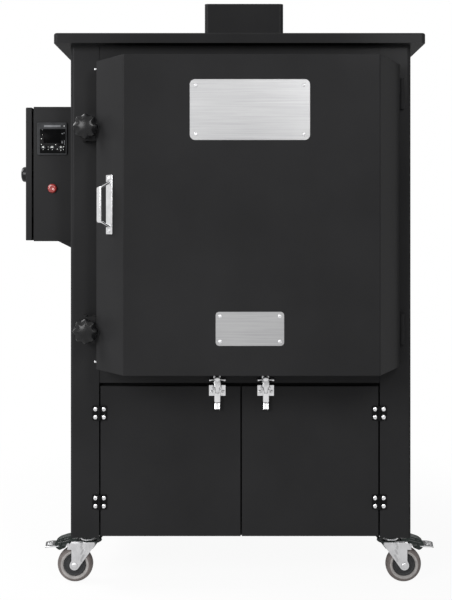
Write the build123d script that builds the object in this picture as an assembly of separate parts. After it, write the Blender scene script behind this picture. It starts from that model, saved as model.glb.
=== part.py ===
from build123d import *
import math
import os

os.makedirs("parts", exist_ok=True)

# A front-loading electric ceramic kiln on casters, in millimetres.
# +Z is up, the door faces -Y. The pieces are laid out about the middle of the body, and
# moved at the end so that the origin is on the floor at the middle of the whole outline.

# Casing
body_width = 789.0
body_shift = 2.75
body_depth = 700.0
sheet = 2.0
cabinet_opening = 650.0
corner_radius = 9.0
rear_return = 40.0
panel_tuck = 20.0
roof_width = 850.0
roof_overhang = 35.0
roof_thickness = 23.3
roof_lip = 55.0

# Vent slots low in the rear panel
vent_length = 60.0
vent_height = 5.0
vent_column_pitch = 100.0
vent_row_pitch = 15.0
vent_above_bottom = 100.0

# Heights, from the floor up
caster_height = 120.3
cabinet_sill = 4.0
cabinet_door_height = 348.1
rail_gap = 7.0
door_above_rail = 39.4
door_height = 695.6
door_to_roof = 46.3

body_bottom = caster_height
cabinet_door_bottom = body_bottom + cabinet_sill
cabinet_door_top = cabinet_door_bottom + cabinet_door_height
rail_bottom = cabinet_door_top + rail_gap
door_bottom = rail_bottom + door_above_rail
door_top = door_bottom + door_height
body_top = door_top + door_to_roof
roof_top = body_top + roof_thickness

front_y = -body_depth / 2
rear_y = body_depth / 2
left_wall = body_shift - body_width / 2
right_wall = body_shift + body_width / 2
opening_side = cabinet_opening / 2

# Chimney and flue
chimney_x = 13.0
chimney_width = 200.0
chimney_height = 124.0
chimney_flange = 15.0
flue_bore_radius = 40.0
flue_wall = 6.0
flue_clearance = 0.5
flue_collar_radius = 62.0
flue_collar_height = 12.0

# Chamber lining
chamber_x = 13.0
chamber_width = 400.0
mouth_below_door_top = 113.0
chamber_depth = 470.0
brick = 120.0
floor_brick = 135.0
deck_sheet = 3.0
deck_above_rail = 7.0

deck_top = rail_bottom + deck_above_rail
chamber_bottom = deck_top + floor_brick
chamber_height = door_top - mouth_below_door_top - chamber_bottom
chamber_top = chamber_bottom + chamber_height
brick_front = front_y + 2 * sheet
chamber_back = brick_front + chamber_depth
brick_rear = chamber_back + brick
brick_left = chamber_x - chamber_width / 2 - brick
brick_right = chamber_x + chamber_width / 2 + brick

# Heating elements and thermocouple
element_radius = 5.0
element_gap = 10.0
element_count = 6
element_end_gap = 65.0
element_front_gap = 28.0
element_tail = 60.0
element_leg_gap = 28.0
element_pitch = (chamber_height - 2 * element_end_gap) / (element_count - 1)
thermocouple_radius = 6.0
thermocouple_head_radius = 22.0
thermocouple_height = 120.0
thermocouple_reach = 70.0
thermocouple_head_length = 45.0

# Base frame of angle iron
angle_width = 30.0
angle_thickness = 3.0
corner_plate = 96.0

# Kiln door: a folded shell with slanted sides
door_depth = 168.0
door_gap = 5.0
door_left = -323.0
door_right = 368.0
door_face_left = -252.5
door_face_right = 303.0
door_left_return = 65.0
door_right_return = 20.0
door_fold_radius = 4.0
plug_depth = 42.0
plug_clearance = 8.0
plug_taper = 4.0
element_reach = chamber_depth - plug_depth - element_front_gap
seal_width = 14.0
seal_offset = 16.0
seal_clearance = 0.3

# Barrel hinges of the kiln door
barrel_radius = 6.0
barrel_height = 71.0
barrel_side_gap = 0.5
barrel_axis_depth = 7.0
hinge_pin_radius = 3.5
running_clearance = 0.05
upper_hinge_below_top = 66.0
lower_hinge_above_bottom = 86.3
barrel_gap = 0.5

hinge_x = door_right + barrel_side_gap + barrel_radius
hinge_y = front_y - barrel_axis_depth
hinge_heights = (door_bottom + lower_hinge_above_bottom, door_top - upper_hinge_below_top)

# Clamps at the free side of the kiln door
clamp_x = -345.0
clamp_heights = (door_bottom + 88.1, door_top - 148.3)
lug_front = 56.0
lug_thickness = 10.0
lug_width = 31.0
lug_height = 60.0
lug_hole_radius = 7.0
stud_radius = 5.0
stud_tip = 8.0
stud_clearance = 0.6
washer_radius = 11.0
washer_thickness = 3.0
face_gap = 0.2
knob_radius = 28.5
knob_lobes = 8
knob_lobe_radius = 6.5
knob_back = 76.0
knob_front = 96.0
knob_hub_radius = 12.0
knob_dome_radius = 60.0
bracket_base = 6.0
bracket_depth = 30.0
bracket_ear = 9.0
trunnion_radius = 9.0
trunnion_depth = 18.0

# Door handle on the left slant
handle_height = 131.5
handle_width = 28.0
handle_plate = 4.0
handle_height_share = 0.5335
handle_z = door_bottom + handle_height_share * door_height
handle_along_slant = 0.54
grip_length = 76.0
grip_width = 17.0
grip_thickness = 4.5
grip_standoff = 30.2
grip_foot_spread = 12.5
handle_screw_spacing = 114.0

# Nameplates, both bare
plate_x = 21.5
large_plate_width = 260.0
large_plate_height = 131.6
large_plate_z = door_top - 120.2
large_plate_radius = 11.7
large_plate_inset = 13.0
small_plate_width = 148.0
small_plate_height = 73.6
small_plate_z = door_bottom + 102.0
small_plate_radius = 7.8
small_plate_inset = 9.5
plate_thickness = 1.5
screw_head_radius = 4.0
screw_head_height = 2.5
side_screw_radius = 3.0
side_screw_length = 8.0
side_screw_inset = 14.5
side_screw_depth = 40.0

# Cabinet doors and their square plastic hinges
cabinet_split_x = 4.0
cabinet_split_gap = 2.8
cabinet_side_gap = 3.0
cabinet_door_depth = 20.0
frame_behind_doors = 4.0
leaf_size = 33.3
leaf_thickness = 3.0
knuckle_radius = 4.0
knuckle_depth = 5.0
knuckle_clearance = 0.3
leaf_screw_radius = 4.6
leaf_screw_height = 1.2
leaf_screw_spacing = 18.6
leaf_pin_radius = 2.0
cabinet_hinge_heights = (cabinet_door_bottom + 80.0, cabinet_door_top - 62.5)
cabinet_hinge_x = opening_side - cabinet_side_gap / 2
frame_front = front_y + cabinet_door_depth + frame_behind_doors

# Toggle latches between the cabinet doors and the rail
latch_offset = 56.0
latch_plate_width = 40.0
latch_plate_height = 26.5
latch_plate_thickness = 2.0
latch_above_door = 2.0
ear_inner = 8.0
ear_outer = 9.6
cheek_inner = 5.6
cheek_outer = 7.6
lever_pivot_depth = 8.0
lever_pivot_below_top = 3.4
hook_pivot_forward = 0.5
hook_pivot_below = 8.0
latch_pin_radius = 1.6
latch_pin_clearance = 0.05
lever_web_depth = 11.5
lever_sheet = 2.0
lever_length = 48.0
lever_flare = 5.5
lever_flare_length = 15.0
hook_half_width = 5.3
hook_head_half_width = 6.5
hook_bar_depth = 5.0
hook_bar_above_door = 15.0
hook_bar_radius = 2.0
hook_bar_half_length = 15.0
hook_knob_radius = 3.5
hook_knob_length = 5.0
keeper_shelf_clearance = 0.2
keeper_shelf_thickness = 3.2
keeper_shelf_depth = 6.0
keeper_shelf_half_width = 10.5
keeper_half_width = 8.0
keeper_top_above_bar = 13.5
keeper_rivet_radius = 2.3
keeper_rivet_height = 1.2
keeper_rivet_spacing = 9.0

# Control enclosure on the left side
enclosure_set_back = 100.0
enclosure_width = 103.25
enclosure_depth = 250.0
enclosure_height = 323.9
enclosure_bottom = 805.9
enclosure_radius = 3.0
gusset_width = 44.0
gusset_height = 22.0
lid_gap = 4.8
lid_depth = 14.4
lid_inset = 2.0
lid_hinge_out = 3.0
lid_hinge_back = 7.0
lid_barrel_radius = 3.5
lid_pin_radius = 1.8
lid_barrel_height = 40.0
lid_hinge_inset = 60.0
lid_leaf_thickness = 2.5
lock_radius = 18.5
lock_height = 16.6
lock_round = 6.0
lock_shank_radius = 8.0
lock_shank_clearance = 0.1
lock_from_front = 36.0
lock_height_share = 0.5012
lock_z = enclosure_bottom + lock_height_share * enclosure_height
cam_length = 22.0
cam_width = 12.0
cam_thickness = 3.0

enclosure_front = front_y + enclosure_set_back
enclosure_rear = enclosure_front + enclosure_depth
enclosure_left = left_wall - enclosure_width
enclosure_top = enclosure_bottom + enclosure_height
lid_right = enclosure_left - lid_gap
lid_left = lid_right - lid_depth
lid_hinge_x = lid_right - lid_hinge_out
lid_rear = enclosure_rear - 1.0
lid_hinge_y = lid_rear + lid_hinge_back

# Temperature controller and pilot lamp
controls_x = left_wall - 57.75
controller_width = 71.3
controller_height = 77.7
controller_z = enclosure_top - 77.4
controller_bezel = 6.0
controller_body_depth = 80.0
controller_body_inset = 4.0
window_width = 47.0
window_height = 33.0
window_rise = 8.0
window_depth = 1.0
key_width = 11.0
key_height = 6.0
key_pitch = 21.3
key_drop = 21.6
key_proud = 1.2
key_depth = 4.2
key_clearance = 0.4
key_travel = 0.8
lamp_z = enclosure_bottom + 127.2
lamp_radius = 11.5
lamp_height = 9.0
lamp_shank_radius = 8.0
lamp_shank_length = 30.0
lamp_nut_radius = 12.0

# Contactor in the enclosure and mains gland in its rear wall
contactor_width = 45.0
contactor_depth = 60.0
contactor_height = 75.0
contactor_z = enclosure_bottom + 75.0
gland_x = left_wall - 51.0
gland_z = enclosure_bottom + 45.0
gland_bore_radius = 5.0
gland_thread_radius = 9.8
gland_hole_clearance = 0.2
gland_flange_radius = 13.0
gland_cap_radius = 11.0
gland_length = 26.0

# Terminal cover on the rear panel
cover_width = 300.0
cover_height = 420.0
cover_depth = 58.0
cover_flange = 14.0
panel_screw_radius = 4.0
panel_screw_height = 3.0
cover_z = chamber_bottom + chamber_height / 2

# Casters
wheel_radius = 42.0
wheel_width = 30.0
wheel_round = 13.5
wheel_core_radius = 26.5
wheel_guard_radius = 24.2
wheel_guard_proud = 1.0
axle_radius = 4.0
axle_head_radius = 7.0
axle_head_height = 3.0
caster_x = 359.0
caster_inset = 65.0
caster_trail = 30.0
caster_plate_width = 60.0
caster_plate_length = 90.0
caster_plate_thickness = 4.0
race_radius = 22.5
race_clearance = 0.4
fork_top = 99.0
fork_sheet = 2.5
fork_gap = 17.5
fork_crown_radius = 33.0
kingpin_radius = 5.0
kingpin_head_radius = 8.0
kingpin_head_height = 3.0
caster_bolt_radius = 5.5
caster_bolt_height = 3.5
caster_bolt_x = 20.0
caster_bolt_y = 35.0
fork_tab_reach = 49.0
fork_tab_bottom = 82.0
axle_eye_radius = 11.0
pedal_pivot_out = 44.0
pedal_pivot_z = 92.0
pedal_pin_radius = 2.5
pedal_half_width = 15.0
pedal_tongue_half_width = 11.0
pedal_tip_out = 103.0

caster_y_front = front_y + caster_inset
caster_y_rear = rear_y - caster_inset


def block(x0, x1, y0, y1, z0, z1):
    """A box given by its faces."""
    size = (abs(x1 - x0), abs(y1 - y0), abs(z1 - z0))
    middle = ((x0 + x1) / 2, (y0 + y1) / 2, (z0 + z1) / 2)
    return Pos(*middle) * Box(*size)


def rod_x(radius, x0, x1, y, z):
    """A cylinder along X."""
    return Pos((x0 + x1) / 2, y, z) * Rot(0, 90, 0) * Cylinder(radius, abs(x1 - x0))


def rod_y(radius, y0, y1, x, z):
    """A cylinder along Y."""
    return Pos(x, (y0 + y1) / 2, z) * Rot(90, 0, 0) * Cylinder(radius, abs(y1 - y0))


def rod_z(radius, z0, z1, x, y):
    """A cylinder along Z."""
    return Pos(x, y, (z0 + z1) / 2) * Cylinder(radius, abs(z1 - z0))


def upright_prism(points, z0, z1):
    """An outline in X and Y, raised from z0 to z1."""
    outline = make_face(Polyline(*[(x, y, z0) for x, y in points], close=True))
    return extrude(outline, amount=z1 - z0, dir=(0, 0, 1))


def profile_along_x(points, x0, x1):
    """An outline in Y and Z, carried from x0 to x1."""
    outline = make_face(Polyline(*[(x0, y, z) for y, z in points], close=True))
    return extrude(outline, amount=x1 - x0, dir=(1, 0, 0))


def profile_along_y(points, y0, y1):
    """An outline in X and Z, carried from y0 to y1."""
    outline = make_face(Polyline(*[(x, y0, z) for x, z in points], close=True))
    return extrude(outline, amount=y1 - y0, dir=(0, 1, 0))


def round_upright_edges(shape, radius, chosen=None):
    """Rounds the edges along Z, all of them or those that the test keeps."""
    edges = shape.edges().filter_by(Axis.Z)
    if chosen is not None:
        edges = edges.filter_by(chosen)
    return fillet(edges, radius)


def side_casing(side):
    """One side of the body, folded round to the front as a post and round to the rear."""
    outer_x = left_wall if side < 0 else right_wall
    inner_x = side * opening_side
    casing = block(outer_x, inner_x, front_y, rear_y, body_bottom, body_top)
    casing = round_upright_edges(casing, corner_radius, lambda e: abs(e.center().X - outer_x) < 1)
    hollow_x = outer_x - side * sheet
    hollow = block(hollow_x, inner_x - side, front_y + sheet, rear_y - sheet, body_bottom, body_top)
    hollow = round_upright_edges(
        hollow, corner_radius - sheet, lambda e: abs(e.center().X - hollow_x) < 1
    )
    rear_x = outer_x - side * rear_return
    rear_cut = block(rear_x, inner_x - side, rear_y - sheet, rear_y, body_bottom, body_top)
    return casing - hollow - rear_cut


def front_panel():
    """The plate between the posts, tucked behind them, with the mouth of the kiln in it."""
    half = opening_side + panel_tuck
    panel = block(-half, half, front_y + sheet, brick_front, rail_bottom, body_top)
    left = chamber_x - chamber_width / 2
    right = chamber_x + chamber_width / 2
    mouth = block(left, right, front_y, brick_front + 1, chamber_bottom, chamber_top)
    return panel - mouth


def rear_panel():
    """The plate that closes the back, with a hole behind the terminal cover."""
    inset = sheet + corner_radius
    panel = block(
        left_wall + inset, right_wall - inset, rear_y - 2 * sheet, rear_y - sheet, body_bottom, body_top
    )
    hole_half_width = cover_width / 2 - cover_flange - sheet
    hole_half_height = cover_height / 2 - cover_flange - sheet
    hole = block(
        chamber_x - hole_half_width,
        chamber_x + hole_half_width,
        rear_y - 3 * sheet,
        rear_y,
        cover_z - hole_half_height,
        cover_z + hole_half_height,
    )
    panel -= hole
    for column in range(4):
        x = (column - 1.5) * vent_column_pitch
        for row in range(4):
            z = body_bottom + vent_above_bottom + row * vent_row_pitch
            panel -= block(
                x - vent_length / 2,
                x + vent_length / 2,
                rear_y - 3 * sheet,
                rear_y,
                z - vent_height / 2,
                z + vent_height / 2,
            )
    return panel


def roof_tray():
    """A folded pan with a lip that rests on the casings."""
    half_x = roof_width / 2
    half_y = body_depth / 2 + roof_overhang
    pan = block(-half_x, half_x, -half_y, half_y, body_top, roof_top)
    pan = round_upright_edges(pan, corner_radius)
    pan = fillet(pan.faces().sort_by(Axis.Z)[-1].edges(), corner_radius / 2)
    inner_x = half_x - sheet
    inner_y = half_y - sheet
    hollow = block(-inner_x, inner_x, -inner_y, inner_y, body_top + sheet, roof_top - sheet)
    hollow = round_upright_edges(hollow, corner_radius - sheet)
    open_x = half_x - roof_lip
    open_y = half_y - roof_lip
    opening = block(-open_x, open_x, -open_y, open_y, body_top - 1, body_top + sheet + 1)
    flue_hole = rod_z(
        flue_bore_radius + flue_wall + flue_clearance, roof_top - 2 * sheet, roof_top + 1, chimney_x, 0
    )
    return pan - hollow - opening - flue_hole


def chimney_box():
    """A square duct with rounded upright edges, a flange below and a plate above."""
    half = chimney_width / 2
    top = roof_top + chimney_height
    duct = block(chimney_x - half, chimney_x + half, -half, half, roof_top, top)
    duct = round_upright_edges(duct, corner_radius)
    inner = half - sheet
    hollow = block(chimney_x - inner, chimney_x + inner, -inner, inner, roof_top, top - sheet)
    hollow = round_upright_edges(hollow, corner_radius - sheet)
    duct -= hollow
    flange_half = half + chimney_flange
    flange = block(
        chimney_x - flange_half,
        chimney_x + flange_half,
        -flange_half,
        flange_half,
        roof_top,
        roof_top + sheet,
    )
    flange -= block(chimney_x - inner, chimney_x + inner, -inner, inner, roof_top, roof_top + sheet)
    duct += flange
    hole_radius = flue_bore_radius + flue_wall + flue_clearance
    return duct - rod_z(hole_radius, top - 2 * sheet, top + 1, chimney_x, 0)


def flue_tube():
    """A ceramic tube from the chamber to the chimney's top, with a collar on the brick roof."""
    top = roof_top + chimney_height
    tube = rod_z(flue_bore_radius + flue_wall, chamber_top, top, chimney_x, 0)
    seat = chamber_top + brick
    tube += rod_z(flue_collar_radius, seat, seat + flue_collar_height, chimney_x, 0)
    return tube - rod_z(flue_bore_radius, chamber_top - 1, top + 1, chimney_x, 0)


def chamber_lining():
    """Brick floor, two side walls with a back wall, and a brick roof."""
    floor = block(brick_left, brick_right, brick_front, brick_rear, deck_top, chamber_bottom)
    left_face = chamber_x - chamber_width / 2
    right_face = chamber_x + chamber_width / 2
    left = block(brick_left, left_face, brick_front, chamber_back, chamber_bottom, chamber_top)
    right = block(right_face, brick_right, brick_front, chamber_back, chamber_bottom, chamber_top)
    back = block(brick_left, brick_right, chamber_back, brick_rear, chamber_bottom, chamber_top)
    for x, z in element_places():
        for leg in (-1, 1):
            leg_z = z + leg * element_leg_gap / 2
            hole = rod_y(element_radius, chamber_back - 1, brick_rear + 1, x, leg_z)
            back -= hole
    couple_z = chamber_top - thermocouple_height
    back -= rod_y(thermocouple_radius + 1, chamber_back - 1, brick_rear + 1, chamber_x, couple_z)
    roof = block(brick_left, brick_right, brick_front, brick_rear, chamber_top, chamber_top + brick)
    hole_radius = flue_bore_radius + flue_wall + flue_clearance
    roof -= rod_z(hole_radius, chamber_top - 1, chamber_top + brick + 1, chimney_x, 0)
    return floor, (left, right, back), roof


def element_places():
    """Where each hairpin element lies: beside the left and the right wall, one above another."""
    first = chamber_bottom + (chamber_height - (element_count - 1) * element_pitch) / 2
    reach = chamber_width / 2 - element_gap - element_radius
    return [
        (chamber_x + side * reach, first + i * element_pitch)
        for side in (-1, 1)
        for i in range(element_count)
    ]


def heating_elements():
    """Hairpin rods that run forward along the side walls, with tails out through the back."""
    pins = []
    front = chamber_back - element_reach
    rear = brick_rear + element_tail
    for x, z in element_places():
        low = rod_y(element_radius, front, rear, x, z - element_leg_gap / 2)
        high = rod_y(element_radius, front, rear, x, z + element_leg_gap / 2)
        bend_radius = element_leg_gap / 2
        ring = Pos(x, front, z) * Rot(0, 90, 0) * Torus(bend_radius, element_radius)
        outside = element_radius + bend_radius + 1
        front_half = block(
            x - outside, x + outside, front - outside, front, z - outside, z + outside
        )
        pins.append(low + high + (ring & front_half))
    return pins


def thermocouple():
    """A ceramic sheath through the back wall, with its round head behind."""
    z = chamber_top - thermocouple_height
    tip = chamber_back - thermocouple_reach
    head_end = brick_rear + thermocouple_head_length
    sheath = rod_y(thermocouple_radius, tip, brick_rear + thermocouple_head_length / 2, chamber_x, z)
    head = rod_y(thermocouple_head_radius, brick_rear, head_end, chamber_x, z)
    return sheath + head


def terminal_cover():
    """A shallow folded box over the element tails, with a screw flange."""
    half_x = cover_width / 2
    half_z = cover_height / 2
    seat = rear_y - sheet
    back = seat + cover_depth
    inner_x = half_x - cover_flange
    inner_z = half_z - cover_flange
    flange = block(
        chamber_x - half_x, chamber_x + half_x, seat, seat + sheet, cover_z - half_z, cover_z + half_z
    )
    box = block(
        chamber_x - inner_x, chamber_x + inner_x, seat, back, cover_z - inner_z, cover_z + inner_z
    )
    box = fillet(box.edges().filter_by(Axis.Z).sort_by(Axis.Y)[-2:], corner_radius / 2)
    hollow = block(
        chamber_x - inner_x + sheet,
        chamber_x + inner_x - sheet,
        seat - 1,
        back - sheet,
        cover_z - inner_z + sheet,
        cover_z + inner_z - sheet,
    )
    cover = flange + box - hollow
    for i in range(7):
        x = chamber_x - 75 + i * 25
        cover -= block(x - 4, x + 4, seat, back + 1, cover_z - 50, cover_z + 50)
    return cover


def angle_bar(x0, x1, y0, y1, z0, legs):
    """A level angle bar: a flat leg at z0 and the upright leg that legs names."""
    flat = block(x0, x1, y0, y1, z0, z0 + angle_thickness)
    if legs == "front":
        upright = block(x0, x1, y0, y0 + angle_thickness, z0, z0 + angle_width)
    elif legs == "rear":
        upright = block(x0, x1, y1 - angle_thickness, y1, z0, z0 + angle_width)
    elif legs == "left":
        upright = block(x0, x0 + angle_thickness, y0, y1, z0, z0 + angle_width)
    else:
        upright = block(x1 - angle_thickness, x1, y0, y1, z0, z0 + angle_width)
    return flat + upright


def base_frame():
    """Angle iron: a base ring, four uprights and a ring under the deck."""
    x = body_width / 2 - sheet
    y0 = frame_front
    y1 = rear_y - corner_radius - 1
    top = deck_top - deck_sheet
    frame = None
    for z0 in (body_bottom, top - angle_width):
        ring = angle_bar(-x, x, y0, y0 + angle_width, z0, "front")
        ring += angle_bar(-x, x, y1 - angle_width, y1, z0, "rear")
        ring += angle_bar(-x, -x + angle_width, y0, y1, z0, "left")
        ring += angle_bar(x - angle_width, x, y0, y1, z0, "right")
        frame = ring if frame is None else frame + ring
    for side in (-1, 1):
        outer = side * x
        inner = side * (x - angle_width)
        for y_out, y_in in ((y0, y0 + angle_width), (y1, y1 - angle_width)):
            step = angle_thickness if y_in > y_out else -angle_thickness
            frame += block(outer, outer - side * angle_thickness, y_out, y_in, body_bottom, top)
            frame += block(outer, inner, y_out, y_out + step, body_bottom, top)
        for y_caster in (caster_y_front, caster_y_rear):
            near = max(y_caster - corner_plate / 2, front_y + sheet)
            far = min(y_caster + corner_plate / 2, y1)
            frame += block(
                outer, side * (x - corner_plate), near, far, body_bottom, body_bottom + angle_thickness
            )
    return Pos(body_shift, 0, 0) * frame


def deck_plates():
    """Two like sheets on the frame: the cabinet's floor and the deck under the lining."""
    x = body_width / 2 - sheet - angle_thickness - 0.3
    y0 = frame_front + angle_thickness + 0.3
    y1 = rear_y - corner_radius - 1 - angle_thickness - 0.3
    low = body_bottom + angle_thickness
    floor = block(-x, x, y0, y1, low, low + deck_sheet)
    for side in (-1, 1):
        for y_corner, inward in ((y0, 1), (y1, -1)):
            notch = block(
                side * x,
                side * (x - angle_width),
                y_corner,
                y_corner + inward * angle_width,
                low,
                low + deck_sheet,
            )
            floor -= notch
    deck_x = body_width / 2 - sheet
    deck_front = front_y + corner_radius + 1
    deck_rear = rear_y - corner_radius - 1
    deck = block(-deck_x, deck_x, deck_front, deck_rear, deck_top - deck_sheet, deck_top)
    return Pos(body_shift, 0, 0) * floor, Pos(body_shift, 0, 0) * deck


def door_outline(inset):
    """The kiln door seen from above, each side moved inwards by inset."""
    back = front_y - door_gap
    face = front_y - door_depth
    points = [
        (door_left, back),
        (door_left, front_y - door_left_return),
        (door_face_left, face),
        (door_face_right, face),
        (door_right, front_y - door_right_return),
        (door_right, back),
    ]
    outline = make_face(Polyline(*[(x, y, 0) for x, y in points], close=True))
    if inset == 0:
        return outline
    return offset(outline, amount=-inset, kind=Kind.INTERSECTION)


def raised(face, z0, z1):
    """A level outline raised from z0 to z1."""
    return extrude(Pos(0, 0, z0) * face, amount=z1 - z0, dir=(0, 0, 1))


def door_shell():
    """The folded steel shell, open behind, with the two clamp lugs welded to its left side."""
    shell = raised(door_outline(0), door_bottom, door_top)
    face = front_y - door_depth
    shell = round_upright_edges(shell, door_fold_radius, lambda e: abs(e.center().Y - face) < 1)
    for end in (-1, 0):
        flat = shell.faces().sort_by(Axis.Z)[end]
        rim = flat.edges().filter_by(lambda e: e.center().Y < front_y - door_right_return / 2)
        shell = fillet(rim, sheet)
    hollow = raised(door_outline(sheet), door_bottom + sheet, door_top - sheet)
    back = front_y - door_gap
    open_back = block(
        door_left + sheet,
        door_right - sheet,
        back - sheet - 1,
        back + 1,
        door_bottom + sheet,
        door_top - sheet,
    )
    shell = shell - hollow - open_back
    for z in clamp_heights:
        lug = block(
            clamp_x - lug_width / 2,
            door_left + sheet,
            front_y - lug_front,
            front_y - lug_front + lug_thickness,
            z - lug_height / 2,
            z + lug_height / 2,
        )
        outer_x = clamp_x - lug_width / 2
        corners = lug.edges().filter_by(Axis.Y).filter_by(
            lambda e: abs(e.center().X - outer_x) < 1
        )
        lug = fillet(corners, lug_thickness / 2)
        hole = rod_y(lug_hole_radius, front_y - lug_front - 1, front_y, clamp_x, z)
        shell += lug - hole
    return shell


def door_insulation():
    """Fibre filling of the shell, with the tapered plug that enters the mouth."""
    filling = raised(door_outline(sheet), door_bottom + sheet, door_top - sheet)
    back = front_y - door_gap - sheet
    plug_width = chamber_width - 2 * plug_clearance
    plug_height = chamber_height - 2 * plug_clearance
    middle_z = (chamber_bottom + chamber_top) / 2
    seat = Plane(origin=(chamber_x, back, middle_z), x_dir=(1, 0, 0), z_dir=(0, 1, 0))
    outline = seat * Rectangle(plug_width, plug_height)
    length = plug_depth + door_gap + sheet
    return filling + extrude(outline, amount=length, dir=(0, 1, 0), taper=plug_taper)


def door_seal():
    """A flat rope ring round the mouth, between the door and the front panel."""
    back = front_y - door_gap - sheet
    panel_face = front_y + sheet - seal_clearance
    middle_z = (chamber_bottom + chamber_top) / 2
    inner_x = chamber_width / 2 + seal_offset
    inner_z = chamber_height / 2 + seal_offset
    outer = block(
        chamber_x - inner_x - seal_width,
        chamber_x + inner_x + seal_width,
        back,
        panel_face,
        middle_z - inner_z - seal_width,
        middle_z + inner_z + seal_width,
    )
    outer = fillet(outer.edges().filter_by(Axis.Y), seal_width * 1.5)
    inner = block(
        chamber_x - inner_x,
        chamber_x + inner_x,
        back - 1,
        panel_face + 1,
        middle_z - inner_z,
        middle_z + inner_z,
    )
    inner = fillet(inner.edges().filter_by(Axis.Y), seal_width / 2)
    return outer - inner


def hinge_barrels():
    """Each weld-on hinge: the lower half with its pin on the post, the upper half on the door."""
    fixed = []
    moving = []
    for z in hinge_heights:
        low = z - barrel_height / 2
        high = z + barrel_height / 2
        lower = rod_z(barrel_radius, low, z, hinge_x, hinge_y)
        pad_half = barrel_radius - 0.5
        lower += block(hinge_x - pad_half, hinge_x + pad_half, hinge_y, front_y, low, z)
        lower += rod_z(hinge_pin_radius, z, high - 6, hinge_x, hinge_y)
        fixed.append(lower)
        upper = rod_z(barrel_radius, z + barrel_gap, high, hinge_x, hinge_y)
        upper += block(
            door_right, hinge_x, hinge_y - 4, hinge_y + 1.5, z + barrel_gap, high
        )
        bore = rod_z(
            hinge_pin_radius + running_clearance, z, high - 5, hinge_x, hinge_y
        )
        moving.append(upper - bore)
    return fixed, moving


def star_knob(z):
    """A lobed knob with a domed front, and its stud."""
    back = front_y - knob_back
    front = front_y - knob_front
    hub_back = front_y - lug_front - washer_thickness - 2 * face_gap
    core_radius = knob_radius - knob_lobe_radius
    knob = rod_y(core_radius, back, front, clamp_x, z)
    for i in range(knob_lobes):
        angle = 2 * math.pi * i / knob_lobes
        x = clamp_x + core_radius * math.cos(angle)
        lobe_z = z + core_radius * math.sin(angle)
        knob += rod_y(knob_lobe_radius, back, front, x, lobe_z)
    dome = Pos(clamp_x, front + knob_dome_radius, z) * Sphere(knob_dome_radius)
    knob = knob & dome
    knob += rod_y(knob_hub_radius, hub_back, back, clamp_x, z)
    knob += rod_y(stud_radius, front_y - stud_tip, hub_back, clamp_x, z)
    return knob


def thrust_washer(z):
    """The washer between the knob and its lug."""
    back = front_y - lug_front - face_gap
    washer = rod_y(washer_radius, back - washer_thickness, back, clamp_x, z)
    hole = rod_y(stud_radius + 0.3, back - washer_thickness - 1, back + 1, clamp_x, z)
    return washer - hole


def clamp_brackets():
    """On the post, two ears with a drilled trunnion between them, for the stud's end."""
    brackets = []
    for z in clamp_heights:
        x0 = clamp_x - lug_width / 2
        x1 = clamp_x + lug_width / 2
        z0 = z - lug_height / 2
        z1 = z + lug_height / 2
        bracket = block(x0, x1, front_y - bracket_base, front_y, z0, z1)
        bracket += block(x0, x0 + bracket_ear, front_y - bracket_depth, front_y, z0, z1)
        bracket += block(x1 - bracket_ear, x1, front_y - bracket_depth, front_y, z0, z1)
        bracket += rod_x(trunnion_radius, x0, x1, front_y - trunnion_depth, z)
        bore = rod_y(stud_radius + stud_clearance, front_y - bracket_depth, front_y, clamp_x, z)
        brackets.append(bracket - bore)
    return brackets


def slant_plane():
    """The left slant of the door: X along the slant, Y up, Z outwards."""
    run_x = door_face_left - door_left
    run_y = -(door_depth - door_left_return)
    length = math.hypot(run_x, run_y)
    along = Vector(run_x / length, run_y / length, 0)
    outwards = Vector(run_y / length, -run_x / length, 0)
    start = Vector(door_left, front_y - door_left_return, handle_z)
    middle = start + along * (length * handle_along_slant)
    return Plane(origin=middle, x_dir=along, z_dir=outwards)


def door_handle():
    """A long back plate with a bridge grip on it."""
    seat = slant_plane()
    plate = extrude(seat * RectangleRounded(handle_width, handle_height, 6), amount=handle_plate)
    half = grip_length / 2
    foot = half + grip_foot_spread
    points = [
        (-grip_width / 2, -foot, handle_plate),
        (-grip_width / 2, -half, grip_standoff),
        (-grip_width / 2, half, grip_standoff),
        (-grip_width / 2, foot, handle_plate),
        (-grip_width / 2, foot - 6, handle_plate),
        (-grip_width / 2, half - 4, grip_standoff - grip_thickness),
        (-grip_width / 2, -half + 4, grip_standoff - grip_thickness),
        (-grip_width / 2, -foot + 6, handle_plate),
    ]
    world = [seat.from_local_coords(p) for p in points]
    side = make_face(Polyline(*world, close=True))
    bridge = extrude(side, amount=grip_width, dir=seat.x_dir)
    return plate + bridge


def nameplates():
    """Two bare plates with rounded corners on the door's face."""
    plates = []
    face = front_y - door_depth
    for width, height, z, radius in (
        (large_plate_width, large_plate_height, large_plate_z, large_plate_radius),
        (small_plate_width, small_plate_height, small_plate_z, small_plate_radius),
    ):
        seat = Plane(origin=(plate_x, face, z), x_dir=(1, 0, 0), z_dir=(0, -1, 0))
        plates.append(extrude(seat * RectangleRounded(width, height, radius), amount=plate_thickness))
    return plates


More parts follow.
